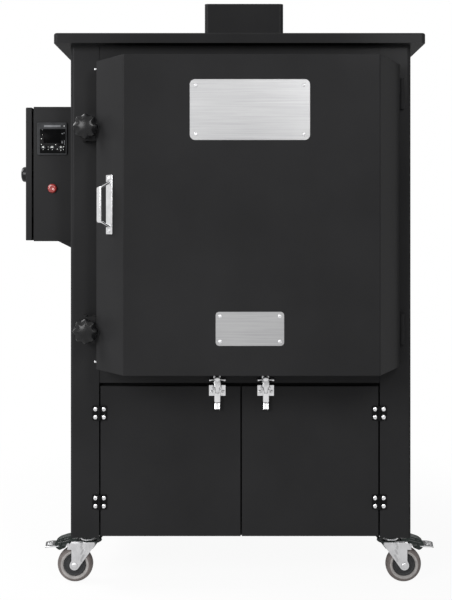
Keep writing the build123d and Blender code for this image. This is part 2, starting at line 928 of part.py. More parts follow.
def door_screws():
    """Screw heads of the nameplates and the handle, and the studs in the door's left side."""
    heads = []
    face = front_y - door_depth - plate_thickness
    for width, height, z, inset in (
        (large_plate_width, large_plate_height, large_plate_z, large_plate_inset),
        (small_plate_width, small_plate_height, small_plate_z, small_plate_inset),
    ):
        for side in (-1, 1):
            for level in (-1, 1):
                x = plate_x + side * (width / 2 - inset)
                head_z = z + level * (height / 2 - inset)
                heads.append(
                    rod_y(screw_head_radius, face - screw_head_height, face, x, head_z)
                )
    seat = slant_plane()
    for level in (-1, 1):
        spot = (0, level * handle_screw_spacing / 2, handle_plate + screw_head_height / 2)
        place = Plane(origin=seat.from_local_coords(spot), x_dir=seat.x_dir, z_dir=seat.z_dir)
        heads.append(place * Cylinder(screw_head_radius, screw_head_height))
    for z in (door_bottom + side_screw_inset, door_top - side_screw_inset):
        y = front_y - side_screw_depth
        heads.append(rod_x(side_screw_radius, door_left - side_screw_length, door_left, y, z))
    return heads


def cabinet_door(side):
    """A pan-shaped door, open behind."""
    outer = opening_side - cabinet_side_gap
    if side < 0:
        x0 = -outer
        x1 = cabinet_split_x - cabinet_split_gap / 2
    else:
        x0 = cabinet_split_x + cabinet_split_gap / 2
        x1 = outer
    z0 = cabinet_door_bottom
    z1 = cabinet_door_top
    back = front_y + cabinet_door_depth
    pan = block(x0, x1, front_y, back, z0, z1)
    pan = fillet(pan.faces().sort_by(Axis.Y)[0].edges(), sheet)
    hollow = block(x0 + sheet, x1 - sheet, front_y + sheet, back + 1, z0 + sheet, z1 - sheet)
    return pan - hollow


def cabinet_hinge(side, z):
    """One square plastic hinge: the leaf on the post with the pin, and the leaf on the door."""
    axis_x = side * cabinet_hinge_x
    axis_y = front_y - knuckle_depth
    half = leaf_size / 2
    third = leaf_size / 6
    start = knuckle_radius + knuckle_clearance
    face = front_y - leaf_thickness
    fixed = block(axis_x + side * start, axis_x + side * half, face, front_y, z - half, z + half)
    moving = block(axis_x - side * start, axis_x - side * half, face, front_y, z - half, z + half)
    for z0, z1 in ((z - half, z - third), (z + third, z + half)):
        fixed += rod_z(knuckle_radius, z0, z1, axis_x, axis_y)
        fixed += block(axis_x, axis_x + side * (start + 0.5), face - 2, face + 2, z0, z1)
    fixed += rod_z(leaf_pin_radius, z - half, z + half, axis_x, axis_y)
    low = z - third + knuckle_clearance
    high = z + third - knuckle_clearance
    moving += rod_z(knuckle_radius, low, high, axis_x, axis_y)
    moving += block(axis_x, axis_x - side * (start + 0.5), face - 2, face + 2, low, high)
    moving -= rod_z(leaf_pin_radius + running_clearance, low - 1, high + 1, axis_x, axis_y)
    return fixed, moving


def leaf_screws(side, z, part):
    """The two screw heads of one leaf; part is +1 on the post and -1 on the door."""
    heads = []
    x = side * cabinet_hinge_x + part * side * leaf_screw_spacing / 2
    face = front_y - leaf_thickness
    for level in (-1, 1):
        head_z = z + level * leaf_screw_spacing / 2
        heads.append(rod_y(leaf_screw_radius, face - leaf_screw_height, face, x, head_z))
    return heads


def latch_levels():
    """Depths in front of the door and heights of the lever's pivot, hook's pivot and bar."""
    lever_y = front_y - lever_pivot_depth
    lever_z = cabinet_door_top - lever_pivot_below_top
    hook_y = lever_y - hook_pivot_forward
    hook_z = lever_z - hook_pivot_below
    bar_y = front_y - hook_bar_depth
    bar_z = cabinet_door_top + hook_bar_above_door
    return lever_y, lever_z, hook_y, hook_z, bar_y, bar_z


def latch_base(x):
    """The screwed plate with two ears and the lever's stub pins."""
    lever_y, lever_z, hook_y, hook_z, bar_y, bar_z = latch_levels()
    top = cabinet_door_top + latch_above_door
    half = latch_plate_width / 2
    face = front_y - latch_plate_thickness
    plate = block(x - half, x + half, face, front_y, top - latch_plate_height, top)
    plate = fillet(plate.edges().filter_by(Axis.Y), 2)
    for side in (-1, 1):
        inner = x + side * ear_inner
        outer = x + side * ear_outer
        plate += block(inner, outer, lever_y - 4, face, lever_z - 6, top)
        plate += rod_x(latch_pin_radius, x + side * (cheek_inner - 0.1), outer, lever_y, lever_z)
        screw_x = x + side * 13.9
        screw_z = top - latch_plate_height / 2
        plate += rod_y(3.4, face - 1.5, face, screw_x, screw_z)
    return plate


def latch_lever(x):
    """Two cheeks, a front web and a flared tip, with the hook's pin across the cheeks."""
    lever_y, lever_z, hook_y, hook_z, bar_y, bar_z = latch_levels()
    web_front = front_y - lever_web_depth - lever_sheet
    web_back = front_y - lever_web_depth
    web_top = hook_z - 6
    straight = lever_z - lever_length + lever_flare_length
    tip = lever_z - lever_length
    cheek_outline = [
        (lever_y + 3.6, lever_z + 3.6),
        (lever_y - 3.6, lever_z + 3.6),
        (web_front, hook_z),
        (web_front, straight),
        (web_back, straight),
        (lever_y + 3.6, hook_z - 4),
    ]
    lever = None
    for side in (-1, 1):
        inner = x + side * cheek_inner
        outer = x + side * cheek_outer
        cheek = profile_along_x(cheek_outline, min(inner, outer), max(inner, outer))
        lever = cheek if lever is None else lever + cheek
    web_outline = [
        (web_back, web_top),
        (web_front, web_top),
        (web_front, straight),
        (web_front - lever_flare, tip),
        (web_back - lever_flare, tip),
        (web_back, straight),
    ]
    lever += profile_along_x(web_outline, x - cheek_outer, x + cheek_outer)
    lever -= rod_x(
        latch_pin_radius + latch_pin_clearance, x - ear_outer, x + ear_outer, lever_y, lever_z
    )
    lever += rod_x(latch_pin_radius, x - cheek_outer, x + cheek_outer, hook_y, hook_z)
    return lever


def latch_hook(x):
    """The strap from the lever up to the cross bar that hooks over the keeper."""
    lever_y, lever_z, hook_y, hook_z, bar_y, bar_z = latch_levels()
    strap_outline = [
        (hook_y + 1, hook_z),
        (hook_y - 1, hook_z),
        (bar_y - 1.2, bar_z - 6),
        (bar_y - 1.2, bar_z),
        (bar_y + 1.2, bar_z),
        (bar_y + 1.2, bar_z - 6),
    ]
    hook = profile_along_x(strap_outline, x - hook_half_width, x + hook_half_width)
    hook += rod_y(hook_head_half_width, bar_y - 1.2, bar_y + 1.2, x, bar_z)
    hook += rod_x(3.0, x - hook_half_width, x + hook_half_width, hook_y, hook_z)
    hook -= rod_x(
        latch_pin_radius + latch_pin_clearance, x - cheek_outer, x + cheek_outer, hook_y, hook_z
    )
    reach = hook_bar_half_length
    hook += rod_x(hook_bar_radius, x - reach, x + reach, bar_y, bar_z)
    for side in (-1, 1):
        end = x + side * (reach + hook_knob_length)
        hook += rod_x(hook_knob_radius, x + side * reach, end, bar_y, bar_z)
    return hook


def latch_keeper(x):
    """On the rail, a riveted plate with two shelves under the hook's bar."""
    lever_y, lever_z, hook_y, hook_z, bar_y, bar_z = latch_levels()
    shelf_top = bar_z - hook_bar_radius - keeper_shelf_clearance
    shelf_bottom = shelf_top - keeper_shelf_thickness
    seat = front_y + sheet
    face = seat - sheet
    top = bar_z + keeper_top_above_bar
    wide = keeper_shelf_half_width
    narrow = keeper_half_width
    keeper = block(x - wide, x + wide, face, seat, rail_bottom, shelf_top)
    keeper += block(x - narrow, x + narrow, face, seat, shelf_top, top)
    for side in (-1, 1):
        inner = x + side * (hook_head_half_width + 1)
        outer = x + side * wide
        keeper += block(inner, outer, front_y - keeper_shelf_depth, face, shelf_bottom, shelf_top)
        rivet_x = x + side * keeper_rivet_spacing / 2
        rivet_z = top - keeper_rivet_radius - 1
        keeper += rod_y(keeper_rivet_radius, face - keeper_rivet_height, face, rivet_x, rivet_z)
    return keeper


def control_enclosure():
    """A box open to the left, with gussets below and its halves of the lid's hinges."""
    box = block(
        enclosure_left, left_wall, enclosure_front, enclosure_rear, enclosure_bottom, enclosure_top
    )
    box = fillet(box.edges().filter_by(Axis.X), enclosure_radius)
    hollow = block(
        enclosure_left - 1,
        left_wall - sheet,
        enclosure_front + sheet,
        enclosure_rear - sheet,
        enclosure_bottom + sheet,
        enclosure_top - sheet,
    )
    box -= hollow
    half_w = controller_width / 2 - controller_body_inset + 0.3
    half_h = controller_height / 2 - controller_body_inset + 0.3
    box -= block(
        controls_x - half_w,
        controls_x + half_w,
        enclosure_front - 1,
        enclosure_front + sheet + 1,
        controller_z - half_h,
        controller_z + half_h,
    )
    box -= rod_y(
        lamp_shank_radius + 0.3, enclosure_front - 1, enclosure_front + sheet + 1, controls_x, lamp_z
    )
    box -= rod_y(
        gland_thread_radius + gland_hole_clearance,
        enclosure_rear - sheet - 1,
        enclosure_rear + 1,
        gland_x,
        gland_z,
    )
    gusset = [
        (left_wall, enclosure_bottom - gusset_height),
        (left_wall, enclosure_bottom),
        (left_wall - gusset_width, enclosure_bottom),
    ]
    for y in (enclosure_front + sheet, enclosure_rear - 2.5 * sheet):
        box += profile_along_y(gusset, y, y + 1.5 * sheet)
    for z in lid_hinge_heights():
        box += block(
            lid_hinge_x,
            enclosure_left + 20,
            enclosure_rear,
            enclosure_rear + lid_leaf_thickness,
            z - lid_barrel_height / 2,
            z,
        )
        low = z - lid_barrel_height / 2
        box += rod_z(lid_barrel_radius, low, z, lid_hinge_x, lid_hinge_y)
        box += rod_z(lid_pin_radius, z, z + lid_barrel_height / 2 - 2, lid_hinge_x, lid_hinge_y)
        box += block(
            lid_hinge_x - 1.5, lid_hinge_x + 1.5, enclosure_rear, lid_hinge_y, low, z
        )
    return box


def lid_hinge_heights():
    """Heights of the two hinges of the enclosure's lid."""
    return (enclosure_bottom + lid_hinge_inset, enclosure_top - lid_hinge_inset)


def enclosure_lid():
    """A shallow pan that faces left, with its halves of the hinges."""
    z0 = enclosure_bottom + lid_inset
    z1 = enclosure_top - lid_inset
    y0 = enclosure_front
    lid = block(lid_left, lid_right, y0, lid_rear, z0, z1)
    lid = fillet(lid.faces().sort_by(Axis.X)[0].edges(), enclosure_radius)
    hollow = block(
        lid_left + sheet, lid_right + 1, y0 + sheet, lid_rear - sheet, z0 + sheet, z1 - sheet
    )
    lid -= hollow
    lid -= rod_x(
        lock_shank_radius + lock_shank_clearance, lid_left - 1, lid_right, lock_y(), lock_z
    )
    for z in lid_hinge_heights():
        low = z + 0.5
        high = z + lid_barrel_height / 2
        knuckle = rod_z(lid_barrel_radius, low, high, lid_hinge_x, lid_hinge_y)
        knuckle += block(lid_hinge_x - 3, lid_right, lid_rear - sheet, lid_hinge_y, low, high)
        knuckle -= rod_z(
            lid_pin_radius + running_clearance, z - 1, high - 1, lid_hinge_x, lid_hinge_y
        )
        lid += knuckle
    return lid


def lock_y():
    """How far back the lid's lock is."""
    return enclosure_front + lock_from_front


def enclosure_lock():
    """A round knob, its shank through the lid and the cam behind it."""
    y = lock_y()
    knob = rod_x(lock_radius, lid_left - lock_height, lid_left - face_gap, y, lock_z)
    knob = fillet(knob.edges().filter_by(GeomType.CIRCLE).sort_by(Axis.X)[0], lock_round)
    inner = lid_right + 1
    knob += rod_x(lock_shank_radius, lid_left - 1, inner, y, lock_z)
    knob += block(
        inner, inner + cam_thickness, y - cam_width / 2, y + cam_width / 2, lock_z - 6, lock_z + cam_length
    )
    return knob


def temperature_controller():
    """The instrument: a bezel with a sunk window, key pockets and a body behind the panel."""
    half_w = controller_width / 2
    half_h = controller_height / 2
    front = enclosure_front - controller_bezel
    body = block(
        controls_x - half_w,
        controls_x + half_w,
        front,
        enclosure_front,
        controller_z - half_h,
        controller_z + half_h,
    )
    body = fillet(body.faces().sort_by(Axis.Y)[0].edges(), 1.2)
    body += block(
        controls_x - half_w + controller_body_inset,
        controls_x + half_w - controller_body_inset,
        enclosure_front,
        enclosure_front + controller_body_depth,
        controller_z - half_h + controller_body_inset,
        controller_z + half_h - controller_body_inset,
    )
    window_z = controller_z + window_rise
    body -= block(
        controls_x - window_width / 2,
        controls_x + window_width / 2,
        front - 1,
        front + window_depth,
        window_z - window_height / 2,
        window_z + window_height / 2,
    )
    for i in (-1, 0, 1):
        x = controls_x + i * key_pitch
        z = controller_z - key_drop
        pocket_depth = key_depth - key_proud + key_travel + key_clearance
        body -= block(
            x - key_width / 2 - key_clearance,
            x + key_width / 2 + key_clearance,
            front - 1,
            front + pocket_depth,
            z - key_height / 2 - key_clearance,
            z + key_height / 2 + key_clearance,
        )
    return body


def controller_key(i):
    """One push key; i is -1, 0 or 1 from left to right."""
    x = controls_x + i * key_pitch
    z = controller_z - key_drop
    front = enclosure_front - controller_bezel - key_proud
    key = block(
        x - key_width / 2,
        x + key_width / 2,
        front,
        front + key_depth,
        z - key_height / 2,
        z + key_height / 2,
    )
    return fillet(key.faces().sort_by(Axis.Y)[0].edges(), 0.8)


def pilot_lamp():
    """A round lens with a domed front, its shank through the panel and a nut behind."""
    front = enclosure_front - lamp_height
    lens = rod_y(lamp_radius, front, enclosure_front, controls_x, lamp_z)
    lens = fillet(lens.edges().filter_by(GeomType.CIRCLE).sort_by(Axis.Y)[0], 3.5)
    shank_end = enclosure_front + lamp_shank_length
    lens += rod_y(lamp_shank_radius, enclosure_front, shank_end, controls_x, lamp_z)
    nut_start = enclosure_front + sheet
    lens += rod_y(lamp_nut_radius, nut_start, nut_start + 4, controls_x, lamp_z)
    return lens


def power_contactor():
    """The switching block on the enclosure's inner wall."""
    wall = left_wall - sheet
    middle_y = (enclosure_front + enclosure_rear) / 2
    z0 = contactor_z - contactor_height / 2
    z1 = contactor_z + contactor_height / 2
    y0 = middle_y - contactor_width / 2
    y1 = middle_y + contactor_width / 2
    body = block(wall - contactor_depth * 0.7, wall, y0, y1, z0, z1)
    body += block(wall - contactor_depth, wall, y0 + 4, y1 - 4, z0 + 18, z1 - 18)
    for level in (z0 + 9, z1 - 9):
        for i in range(3):
            y = y0 + (i + 0.5) * contactor_width / 3
            body -= rod_x(3.5, wall - contactor_depth, wall - contactor_depth * 0.5, y, level)
    return body


def cable_gland():
    """A mains gland in the rear wall, with its cap, flange, thread and inner nut."""
    seat = enclosure_rear
    gland = rod_y(gland_thread_radius, seat - 10, seat + 4, gland_x, gland_z)
    gland += rod_y(gland_flange_radius, seat, seat + 5, gland_x, gland_z)
    gland += rod_y(gland_cap_radius, seat, seat + gland_length, gland_x, gland_z)
    gland += rod_y(gland_flange_radius, seat - sheet - 4, seat - sheet, gland_x, gland_z)
    return gland - rod_y(gland_bore_radius, seat - 11, seat + gland_length + 1, gland_x, gland_z)


def wheel(x, y, z, axis):
    """A tyre on its core, both bored for the axle; axis is the way that the axle runs."""
    half = wheel_width / 2
    turn = Rot(90, 0, 0) if axis == "Y" else Rot(0, 90, 0)
    tyre = Cylinder(wheel_radius, wheel_width)
    tyre = fillet(tyre.edges().filter_by(GeomType.CIRCLE), wheel_round)
    tyre -= Cylinder(wheel_core_radius, wheel_width + 2)
    core = Cylinder(wheel_core_radius, wheel_width - 6)
    core += Cylinder(wheel_guard_radius, 2 * (half + wheel_guard_proud))
    core -= Cylinder(axle_radius + running_clearance, wheel_width + 8)
    place = Pos(x, y, z) * turn
    return [place * tyre, place * core]


def caster_fork(side):
    """The swivel fork of a front caster, with its axle and the pin of its pedal."""
    axis_x = side * caster_x
    y = caster_y_front
    wheel_x = axis_x + side * caster_trail
    crown = rod_z(fork_crown_radius, fork_top - fork_sheet, fork_top, axis_x, y)
    half = fork_gap + fork_sheet
    reach = axis_x + side * fork_tab_reach
    crown += block(
        axis_x, axis_x + side * (pedal_pivot_out - 14), y - half, y + half, fork_top - fork_sheet, fork_top
    )
    inner_end = axis_x - side * (fork_crown_radius - 1)
    outline = [
        (inner_end, fork_top),
        (inner_end, fork_top - 8),
        (wheel_x - side * (axle_eye_radius - 2), wheel_radius - 8),
        (wheel_x - side * 4, wheel_radius - axle_eye_radius + 0.5),
        (wheel_x + side * 4, wheel_radius - axle_eye_radius + 0.5),
        (wheel_x + side * (axle_eye_radius - 2), wheel_radius - 6),
        (wheel_x + side * 8, fork_tab_bottom),
        (reach, fork_tab_bottom),
        (reach, fork_top),
    ]
    for direction in (-1, 1):
        y_in = y + direction * fork_gap
        y_out = y + direction * half
        crown += profile_along_y(outline, min(y_in, y_out), max(y_in, y_out))
    crown -= rod_z(kingpin_radius + running_clearance, fork_top - 4, fork_top + 1, axis_x, y)
    axle = half + axle_head_height
    crown += rod_y(axle_radius, y - half, y + half, wheel_x, wheel_radius)
    crown += rod_y(axle_head_radius, y - axle, y - half, wheel_x, wheel_radius)
    crown += rod_y(axle_head_radius, y + half, y + axle, wheel_x, wheel_radius)
    pivot_x = axis_x + side * pedal_pivot_out
    crown += rod_y(pedal_pin_radius, y - half, y + half, pivot_x, pedal_pivot_z)
    return crown


def brake_pedal(side):
    """The rocker between the fork's cheeks, with the tongue that a foot presses."""
    axis_x = side * caster_x
    y = caster_y_front
    pivot_x = axis_x + side * pedal_pivot_out
    tip = axis_x + side * pedal_tip_out
    rocker = [
        (pivot_x - side * 8, pedal_pivot_z + 15),
        (pivot_x + side * 8, pedal_pivot_z + 18),
        (pivot_x + side * 20, pedal_pivot_z + 13),
        (pivot_x + side * 30, pedal_pivot_z + 5),
        (pivot_x + side * 27, pedal_pivot_z - 9),
        (pivot_x + side * 12, pedal_pivot_z - 12),
        (pivot_x + side * 1, pedal_pivot_z - 7),
        (pivot_x - side * 8, pedal_pivot_z - 3),
    ]
    tongue = [
        (pivot_x + side * 22, pedal_pivot_z + 6),
        (tip - side * 6, pedal_pivot_z + 6),
        (tip, pedal_pivot_z - 1),
        (tip - side * 3, pedal_pivot_z - 5),
        (pivot_x + side * 22, pedal_pivot_z - 5),
    ]
    pedal = profile_along_y(rocker, y - pedal_half_width, y + pedal_half_width)
    pedal += profile_along_y(tongue, y - pedal_tongue_half_width, y + pedal_tongue_half_width)
    hole = rod_y(
        pedal_pin_radius + running_clearance,
        y - pedal_half_width - 1,
        y + pedal_half_width + 1,
        pivot_x,
        pedal_pivot_z,
    )
    return pedal - hole


def caster_plates():
    """Plates with the races and kingpins in front, plates with rigid forks behind."""
    plates = []
    bottom = body_bottom - caster_plate_thickness
    half = fork_gap + fork_sheet
    for side in (-1, 1):
        x = side * caster_x
        for y in (caster_y_front, caster_y_rear):
            plate = block(
                x - caster_plate_width / 2,
                x + caster_plate_width / 2,
                y - caster_plate_length / 2,
                y + caster_plate_length / 2,
                bottom,
                body_bottom,
            )
            if y == caster_y_front:
                plate += rod_z(race_radius, fork_top + race_clearance, bottom, x, y)
                head_top = fork_top - fork_sheet - 0.5
                plate += rod_z(kingpin_radius, head_top, fork_top + 1, x, y)
                plate += rod_z(
                    kingpin_head_radius, head_top - kingpin_head_height, head_top, x, y
                )
            else:
                leg = [
                    (y - 26, bottom),
                    (y - axle_eye_radius + 1, wheel_radius - 5),
                    (y - 4, wheel_radius - axle_eye_radius + 0.5),
                    (y + 4, wheel_radius - axle_eye_radius + 0.5),
                    (y + axle_eye_radius - 1, wheel_radius - 5),
                    (y + 26, bottom),
                ]
                plate += profile_along_x(leg, x - half, x - fork_gap)
                plate += profile_along_x(leg, x + fork_gap, x + half)
                plate += rod_x(axle_radius, x - half, x + half, y, wheel_radius)
                end = half + axle_head_height
                plate += rod_x(axle_head_radius, x - end, x - half, y, wheel_radius)
                plate += rod_x(axle_head_radius, x + half, x + end, y, wheel_radius)
            plates.append(plate)
    return plates


def casing_screws():
    """Caster bolts, and the screws of the chimney flange and the terminal cover."""
    heads = []
    bottom = body_bottom - caster_plate_thickness
    for side in (-1, 1):
        for y in (caster_y_front, caster_y_rear):
            for dx in (-caster_bolt_x, caster_bolt_x):
                for dy in (-caster_bolt_y, caster_bolt_y):
                    x = side * caster_x + dx
                    heads.append(
                        rod_z(caster_bolt_radius, bottom - caster_bolt_height, bottom, x, y + dy)
                    )
    flange = chimney_width / 2 + chimney_flange / 2
    seat = roof_top + sheet
    for dx in (-1, 1):
        for dy in (-1, 1):
            heads.append(
                rod_z(
                    panel_screw_radius,
                    seat,
                    seat + panel_screw_height,
                    chimney_x + dx * flange,
                    dy * flange,
                )
            )
    for dx in (-1, 1):
        for dz in (-1, 1):
            x = chamber_x + dx * (cover_width / 2 - cover_flange / 2)
            z = cover_z + dz * (cover_height / 2 - cover_flange / 2)
            heads.append(rod_y(panel_screw_radius, rear_y, rear_y + panel_screw_height, x, z))
    return heads


def all_nodes():
    """Every node by name, each a list of solids."""
    floor_brick_piece, walls, roof_brick = chamber_lining()
    hinge_pins, hinge_upper = hinge_barrels()
    nodes = {
        "base_frame": [base_frame()],
        "side_casing_left": [side_casing(-1)],
        "side_casing_right": [side_casing(1)],
        "front_panel": [front_panel()],
        "rear_panel": [rear_panel()],
        "deck_plates": list(deck_plates()),
        "roof_tray": [roof_tray()],
        "chimney_box": [chimney_box()],
        "flue_tube": [flue_tube()],
        "chamber_floor": [floor_brick_piece],
        "chamber_walls": list(walls),
        "chamber_roof": [roof_brick],
        "heating_elements": heating_elements(),
        "thermocouple": [thermocouple()],
        "terminal_cover": [terminal_cover()],
        "control_enclosure": [control_enclosure()],
        "temperature_controller": [temperature_controller()],
        "pilot_lamp": [pilot_lamp()],
        "power_contactor": [power_contactor()],
        "cable_gland": [cable_gland()],
        "door_hinge_pins": hinge_pins,
        "clamp_brackets": clamp_brackets(),
        "caster_plates": caster_plates(),
        "casing_screws": casing_screws(),
        "door_shell": [door_shell()],
        "door_insulation": [door_insulation()],
        "door_seal": [door_seal()],
        "door_hinge_barrels": hinge_upper,
        "door_handle": [door_handle()],
        "nameplates": nameplates(),
        "door_screws": door_screws(),
        "enclosure_lid": [enclosure_lid()],
        "enclosure_lock": [enclosure_lock()],
    }
    for level, z in zip(("lower", "upper"), clamp_heights):
        nodes["clamp_washer_" + level] = [thrust_washer(z)]
        nodes["clamp_knob_" + level] = [star_knob(z)]
    fixed_leaves = []
    keepers = []
    for word, side in (("left", -1), ("right", 1)):
        nodes["cabinet_door_" + word] = [cabinet_door(side)]
        moving_leaves = []
        for z in cabinet_hinge_heights:
            fixed, moving = cabinet_hinge(side, z)
            fixed_leaves += [fixed] + leaf_screws(side, z, 1)
            moving_leaves += [moving] + leaf_screws(side, z, -1)
        nodes["cabinet_hinge_leaves_" + word] = moving_leaves
        x = cabinet_split_x + side * latch_offset
        nodes["latch_base_" + word] = [latch_base(x)]
        nodes["latch_lever_" + word] = [latch_lever(x)]
        nodes["latch_hook_" + word] = [latch_hook(x)]
        keepers.append(latch_keeper(x))
        nodes["caster_fork_" + word] = [caster_fork(side)]
        nodes["brake_pedal_" + word] = [brake_pedal(side)]
        front_x = side * (caster_x + caster_trail)
        nodes["caster_wheel_front_" + word] = wheel(front_x, caster_y_front, wheel_radius, "Y")
        rear_x = side * caster_x
        nodes["caster_wheel_rear_" + word] = wheel(rear_x, caster_y_rear, wheel_radius, "X")
    nodes["cabinet_hinge_fixed_leaves"] = fixed_leaves
    nodes["latch_keepers"] = keepers
    for word, i in (("left", -1), ("middle", 0), ("right", 1)):
        nodes["controller_key_" + word] = [controller_key(i)]
    return nodes


# The whole outline, from which the origin's place follows
reach_left = lid_left - lock_height
reach_right = caster_x + pedal_tip_out
reach_front = front_y - door_depth - plate_thickness - screw_head_height
reach_rear = rear_y - sheet + cover_depth
origin_x = (reach_left + reach_right) / 2
origin_y = (reach_front + reach_rear) / 2


def main():
    """Writes one STEP file for each node."""
    to_origin = Pos(-origin_x, -origin_y, 0)
    for name, solids in all_nodes().items():
        placed = [to_origin * solid for solid in solids]
        shape = placed[0] if len(placed) == 1 else Compound(children=placed)
        export_step(shape, "parts/" + name + ".step")


if __name__ == "__main__":
    main()
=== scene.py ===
import itertools
import math

import bmesh
import bpy
import numpy as np
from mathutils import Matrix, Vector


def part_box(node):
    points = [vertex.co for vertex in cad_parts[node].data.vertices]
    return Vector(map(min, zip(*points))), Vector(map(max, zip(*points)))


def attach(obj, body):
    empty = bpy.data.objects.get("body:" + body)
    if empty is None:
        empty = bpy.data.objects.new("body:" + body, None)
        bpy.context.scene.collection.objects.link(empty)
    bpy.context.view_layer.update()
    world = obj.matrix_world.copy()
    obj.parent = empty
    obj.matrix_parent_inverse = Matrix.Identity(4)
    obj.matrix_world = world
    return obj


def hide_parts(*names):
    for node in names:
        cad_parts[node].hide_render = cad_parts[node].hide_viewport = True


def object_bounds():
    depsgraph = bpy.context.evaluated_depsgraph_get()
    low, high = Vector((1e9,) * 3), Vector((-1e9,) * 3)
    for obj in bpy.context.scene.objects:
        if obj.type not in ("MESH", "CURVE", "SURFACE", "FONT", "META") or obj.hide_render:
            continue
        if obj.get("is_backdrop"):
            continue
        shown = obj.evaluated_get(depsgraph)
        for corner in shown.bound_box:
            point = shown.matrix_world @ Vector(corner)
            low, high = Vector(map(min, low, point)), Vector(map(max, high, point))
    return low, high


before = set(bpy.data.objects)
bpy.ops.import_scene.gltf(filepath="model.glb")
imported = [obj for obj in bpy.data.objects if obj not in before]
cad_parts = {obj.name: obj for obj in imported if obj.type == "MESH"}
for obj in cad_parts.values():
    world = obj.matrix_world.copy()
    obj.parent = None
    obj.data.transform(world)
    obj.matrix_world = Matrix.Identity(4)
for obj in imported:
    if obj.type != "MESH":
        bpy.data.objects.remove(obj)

bl_info = {
    "name": "Ceramic kiln",
    "version": (1, 0, 0),
    "blender": (4, 5, 0),
    "location": "3D View > Sidebar > Kiln",
    "description": "Dresses the kiln's frame with its fittings, finishes, lights and camera",
    "category": "Object",
}

# The source's layout is in millimetres about the middle of the roof. The frame's origin is on
# the floor at the middle of the whole outline.
LAYOUT_SHIFT = np.mean(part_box("roof_tray"), axis=0) * (1000, 1000, 0)
X = np.array((1.0, 0.0, 0.0))
Y = np.array((0.0, 1.0, 0.0))
Z = np.array((0.0, 0.0, 1.0))
SIDES = (("left", -1), ("right", 1))
CORNERS = ((-1, -1), (-1, 1), (1, -1), (1, 1))
SHARP_ANGLE = math.radians(35)


def cad_span(name):
    """The lowest and highest corner of a node, in layout millimetres."""
    low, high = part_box(name)
    return np.array(low) * 1000 - LAYOUT_SHIFT, np.array(high) * 1000 - LAYOUT_SHIFT


class Form:
    """Gathers surfaces, each a grid of points in layout millimetres, into one mesh."""

    def __init__(self):
        self.points = []
        self.faces = []
        self.skins = []
        self.count = 0

    def grid(self, points, skin=0):
        """Joins each point of an n by m grid to its neighbours; the second way is closed.

        The skin is the number of a finish, or a number for each row and column of faces.
        """
        rows, columns = points.shape[:2]
        index = self.count + np.arange(rows * columns).reshape(rows, columns)
        right = np.roll(index, -1, axis=1)
        quads = np.stack((index[:-1], right[:-1], right[1:], index[1:]), axis=-1).reshape(-1, 4)
        self.points.append(points.reshape(-1, 3))
        self.faces += quads.tolist()
        self.skins += np.broadcast_to(skin, (rows - 1, columns)).ravel().tolist()
        self.count += rows * columns

    def capped(self, points, skin=0):
        """A grid whose first and last rows are each closed with one face."""
        self.grid(points, skin)
        rows, columns = points.shape[:2]
        first = self.count - rows * columns
        self.faces.append(list(range(first, first + columns)))
        self.faces.append(list(range(self.count - columns, self.count)))
        self.skins += [int(np.ravel(skin)[0])] * 2

    def mesh(self, name):
        """The mesh in metres: doubles merged, faces outwards, and smooth up to the sharp angle."""
        data = bpy.data.meshes.new(name)
        place = (np.concatenate(self.points) + LAYOUT_SHIFT) / 1000
        data.from_pydata(place.tolist(), [], self.faces)
        data.polygons.foreach_set("material_index", np.array(self.skins, dtype=np.int32))
        work = bmesh.new()
        work.from_mesh(data)
        bmesh.ops.remove_doubles(work, verts=work.verts, dist=1e-6)
        bmesh.ops.dissolve_degenerate(work, edges=work.edges, dist=1e-7)
        bmesh.ops.recalc_face_normals(work, faces=work.faces)
        work.to_mesh(data)
        work.free()
        data.polygons.foreach_set("use_smooth", np.ones(len(data.polygons), dtype=bool))
        data.set_sharp_from_angle(angle=SHARP_ANGLE)
        return data


def place_piece(name, form, body, finishes, replaces=(), bevel=0.0):
    """Links a piece, gives it its finishes, and ties it to its body and to what it stands for."""
    piece = bpy.data.objects.new(name, form.mesh(name))
    bpy.context.scene.collection.objects.link(piece)
    for word in finishes:
        piece.data.materials.append(finish(word))
    if bevel:
        rounding = piece.modifiers.new("Rounded edges", "BEVEL")
        rounding.width = bevel / 1000
        rounding.segments = 2
        rounding.limit_method = "ANGLE"
        rounding.angle_limit = SHARP_ANGLE
        rounding.harden_normals = True
    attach(piece, body)
    if replaces:
        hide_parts(*replaces)


def unit(vectors):
    """Vectors with their ways kept and their lengths made one."""
    return vectors / np.linalg.norm(vectors, axis=-1, keepdims=True)


def arc(centre, radius, start, end, steps=8):
    """Points of a circular arc in a plane, its angles in degrees."""
    angle = np.radians(np.linspace(start, end, steps))
    across = centre[0] + radius * np.cos(angle)
    return np.stack((across, centre[1] + radius * np.sin(angle)), axis=-1)


def smooth(share):
    """Rises from nought to one, level at both ends."""
    return share * share * (3 - 2 * share)


def hexagon_edge(segments):
    """The radius of a hexagon at angles round its middle, its corners at one."""
    angle = np.linspace(0, 2 * np.pi, segments, endpoint=False)
    return math.cos(math.pi / 6) / np.cos((angle % (np.pi / 3)) - np.pi / 6)


def rounded_outline(width, height, radius, steps=6):
    """A rectangle about the origin whose corners are quarter circles."""
    a = width / 2 - radius
    b = height / 2 - radius
    corners = (((a, b), 0), ((-a, b), 90), ((-a, -b), 180), ((a, -b), 270))
    return np.concatenate([arc(c, radius, turn, turn + 90, steps) for c, turn in corners])


def bends(start, corner, end, steps):
    """A parabola from each start to each end, drawn towards the corner between them."""
    t = np.linspace(0, 1, steps)[None, :, None]
    curve = (1 - t) ** 2 * start[:, None] + 2 * t * (1 - t) * corner[:, None] + t**2 * end[:, None]
    return curve.reshape(-1, corner.shape[1])


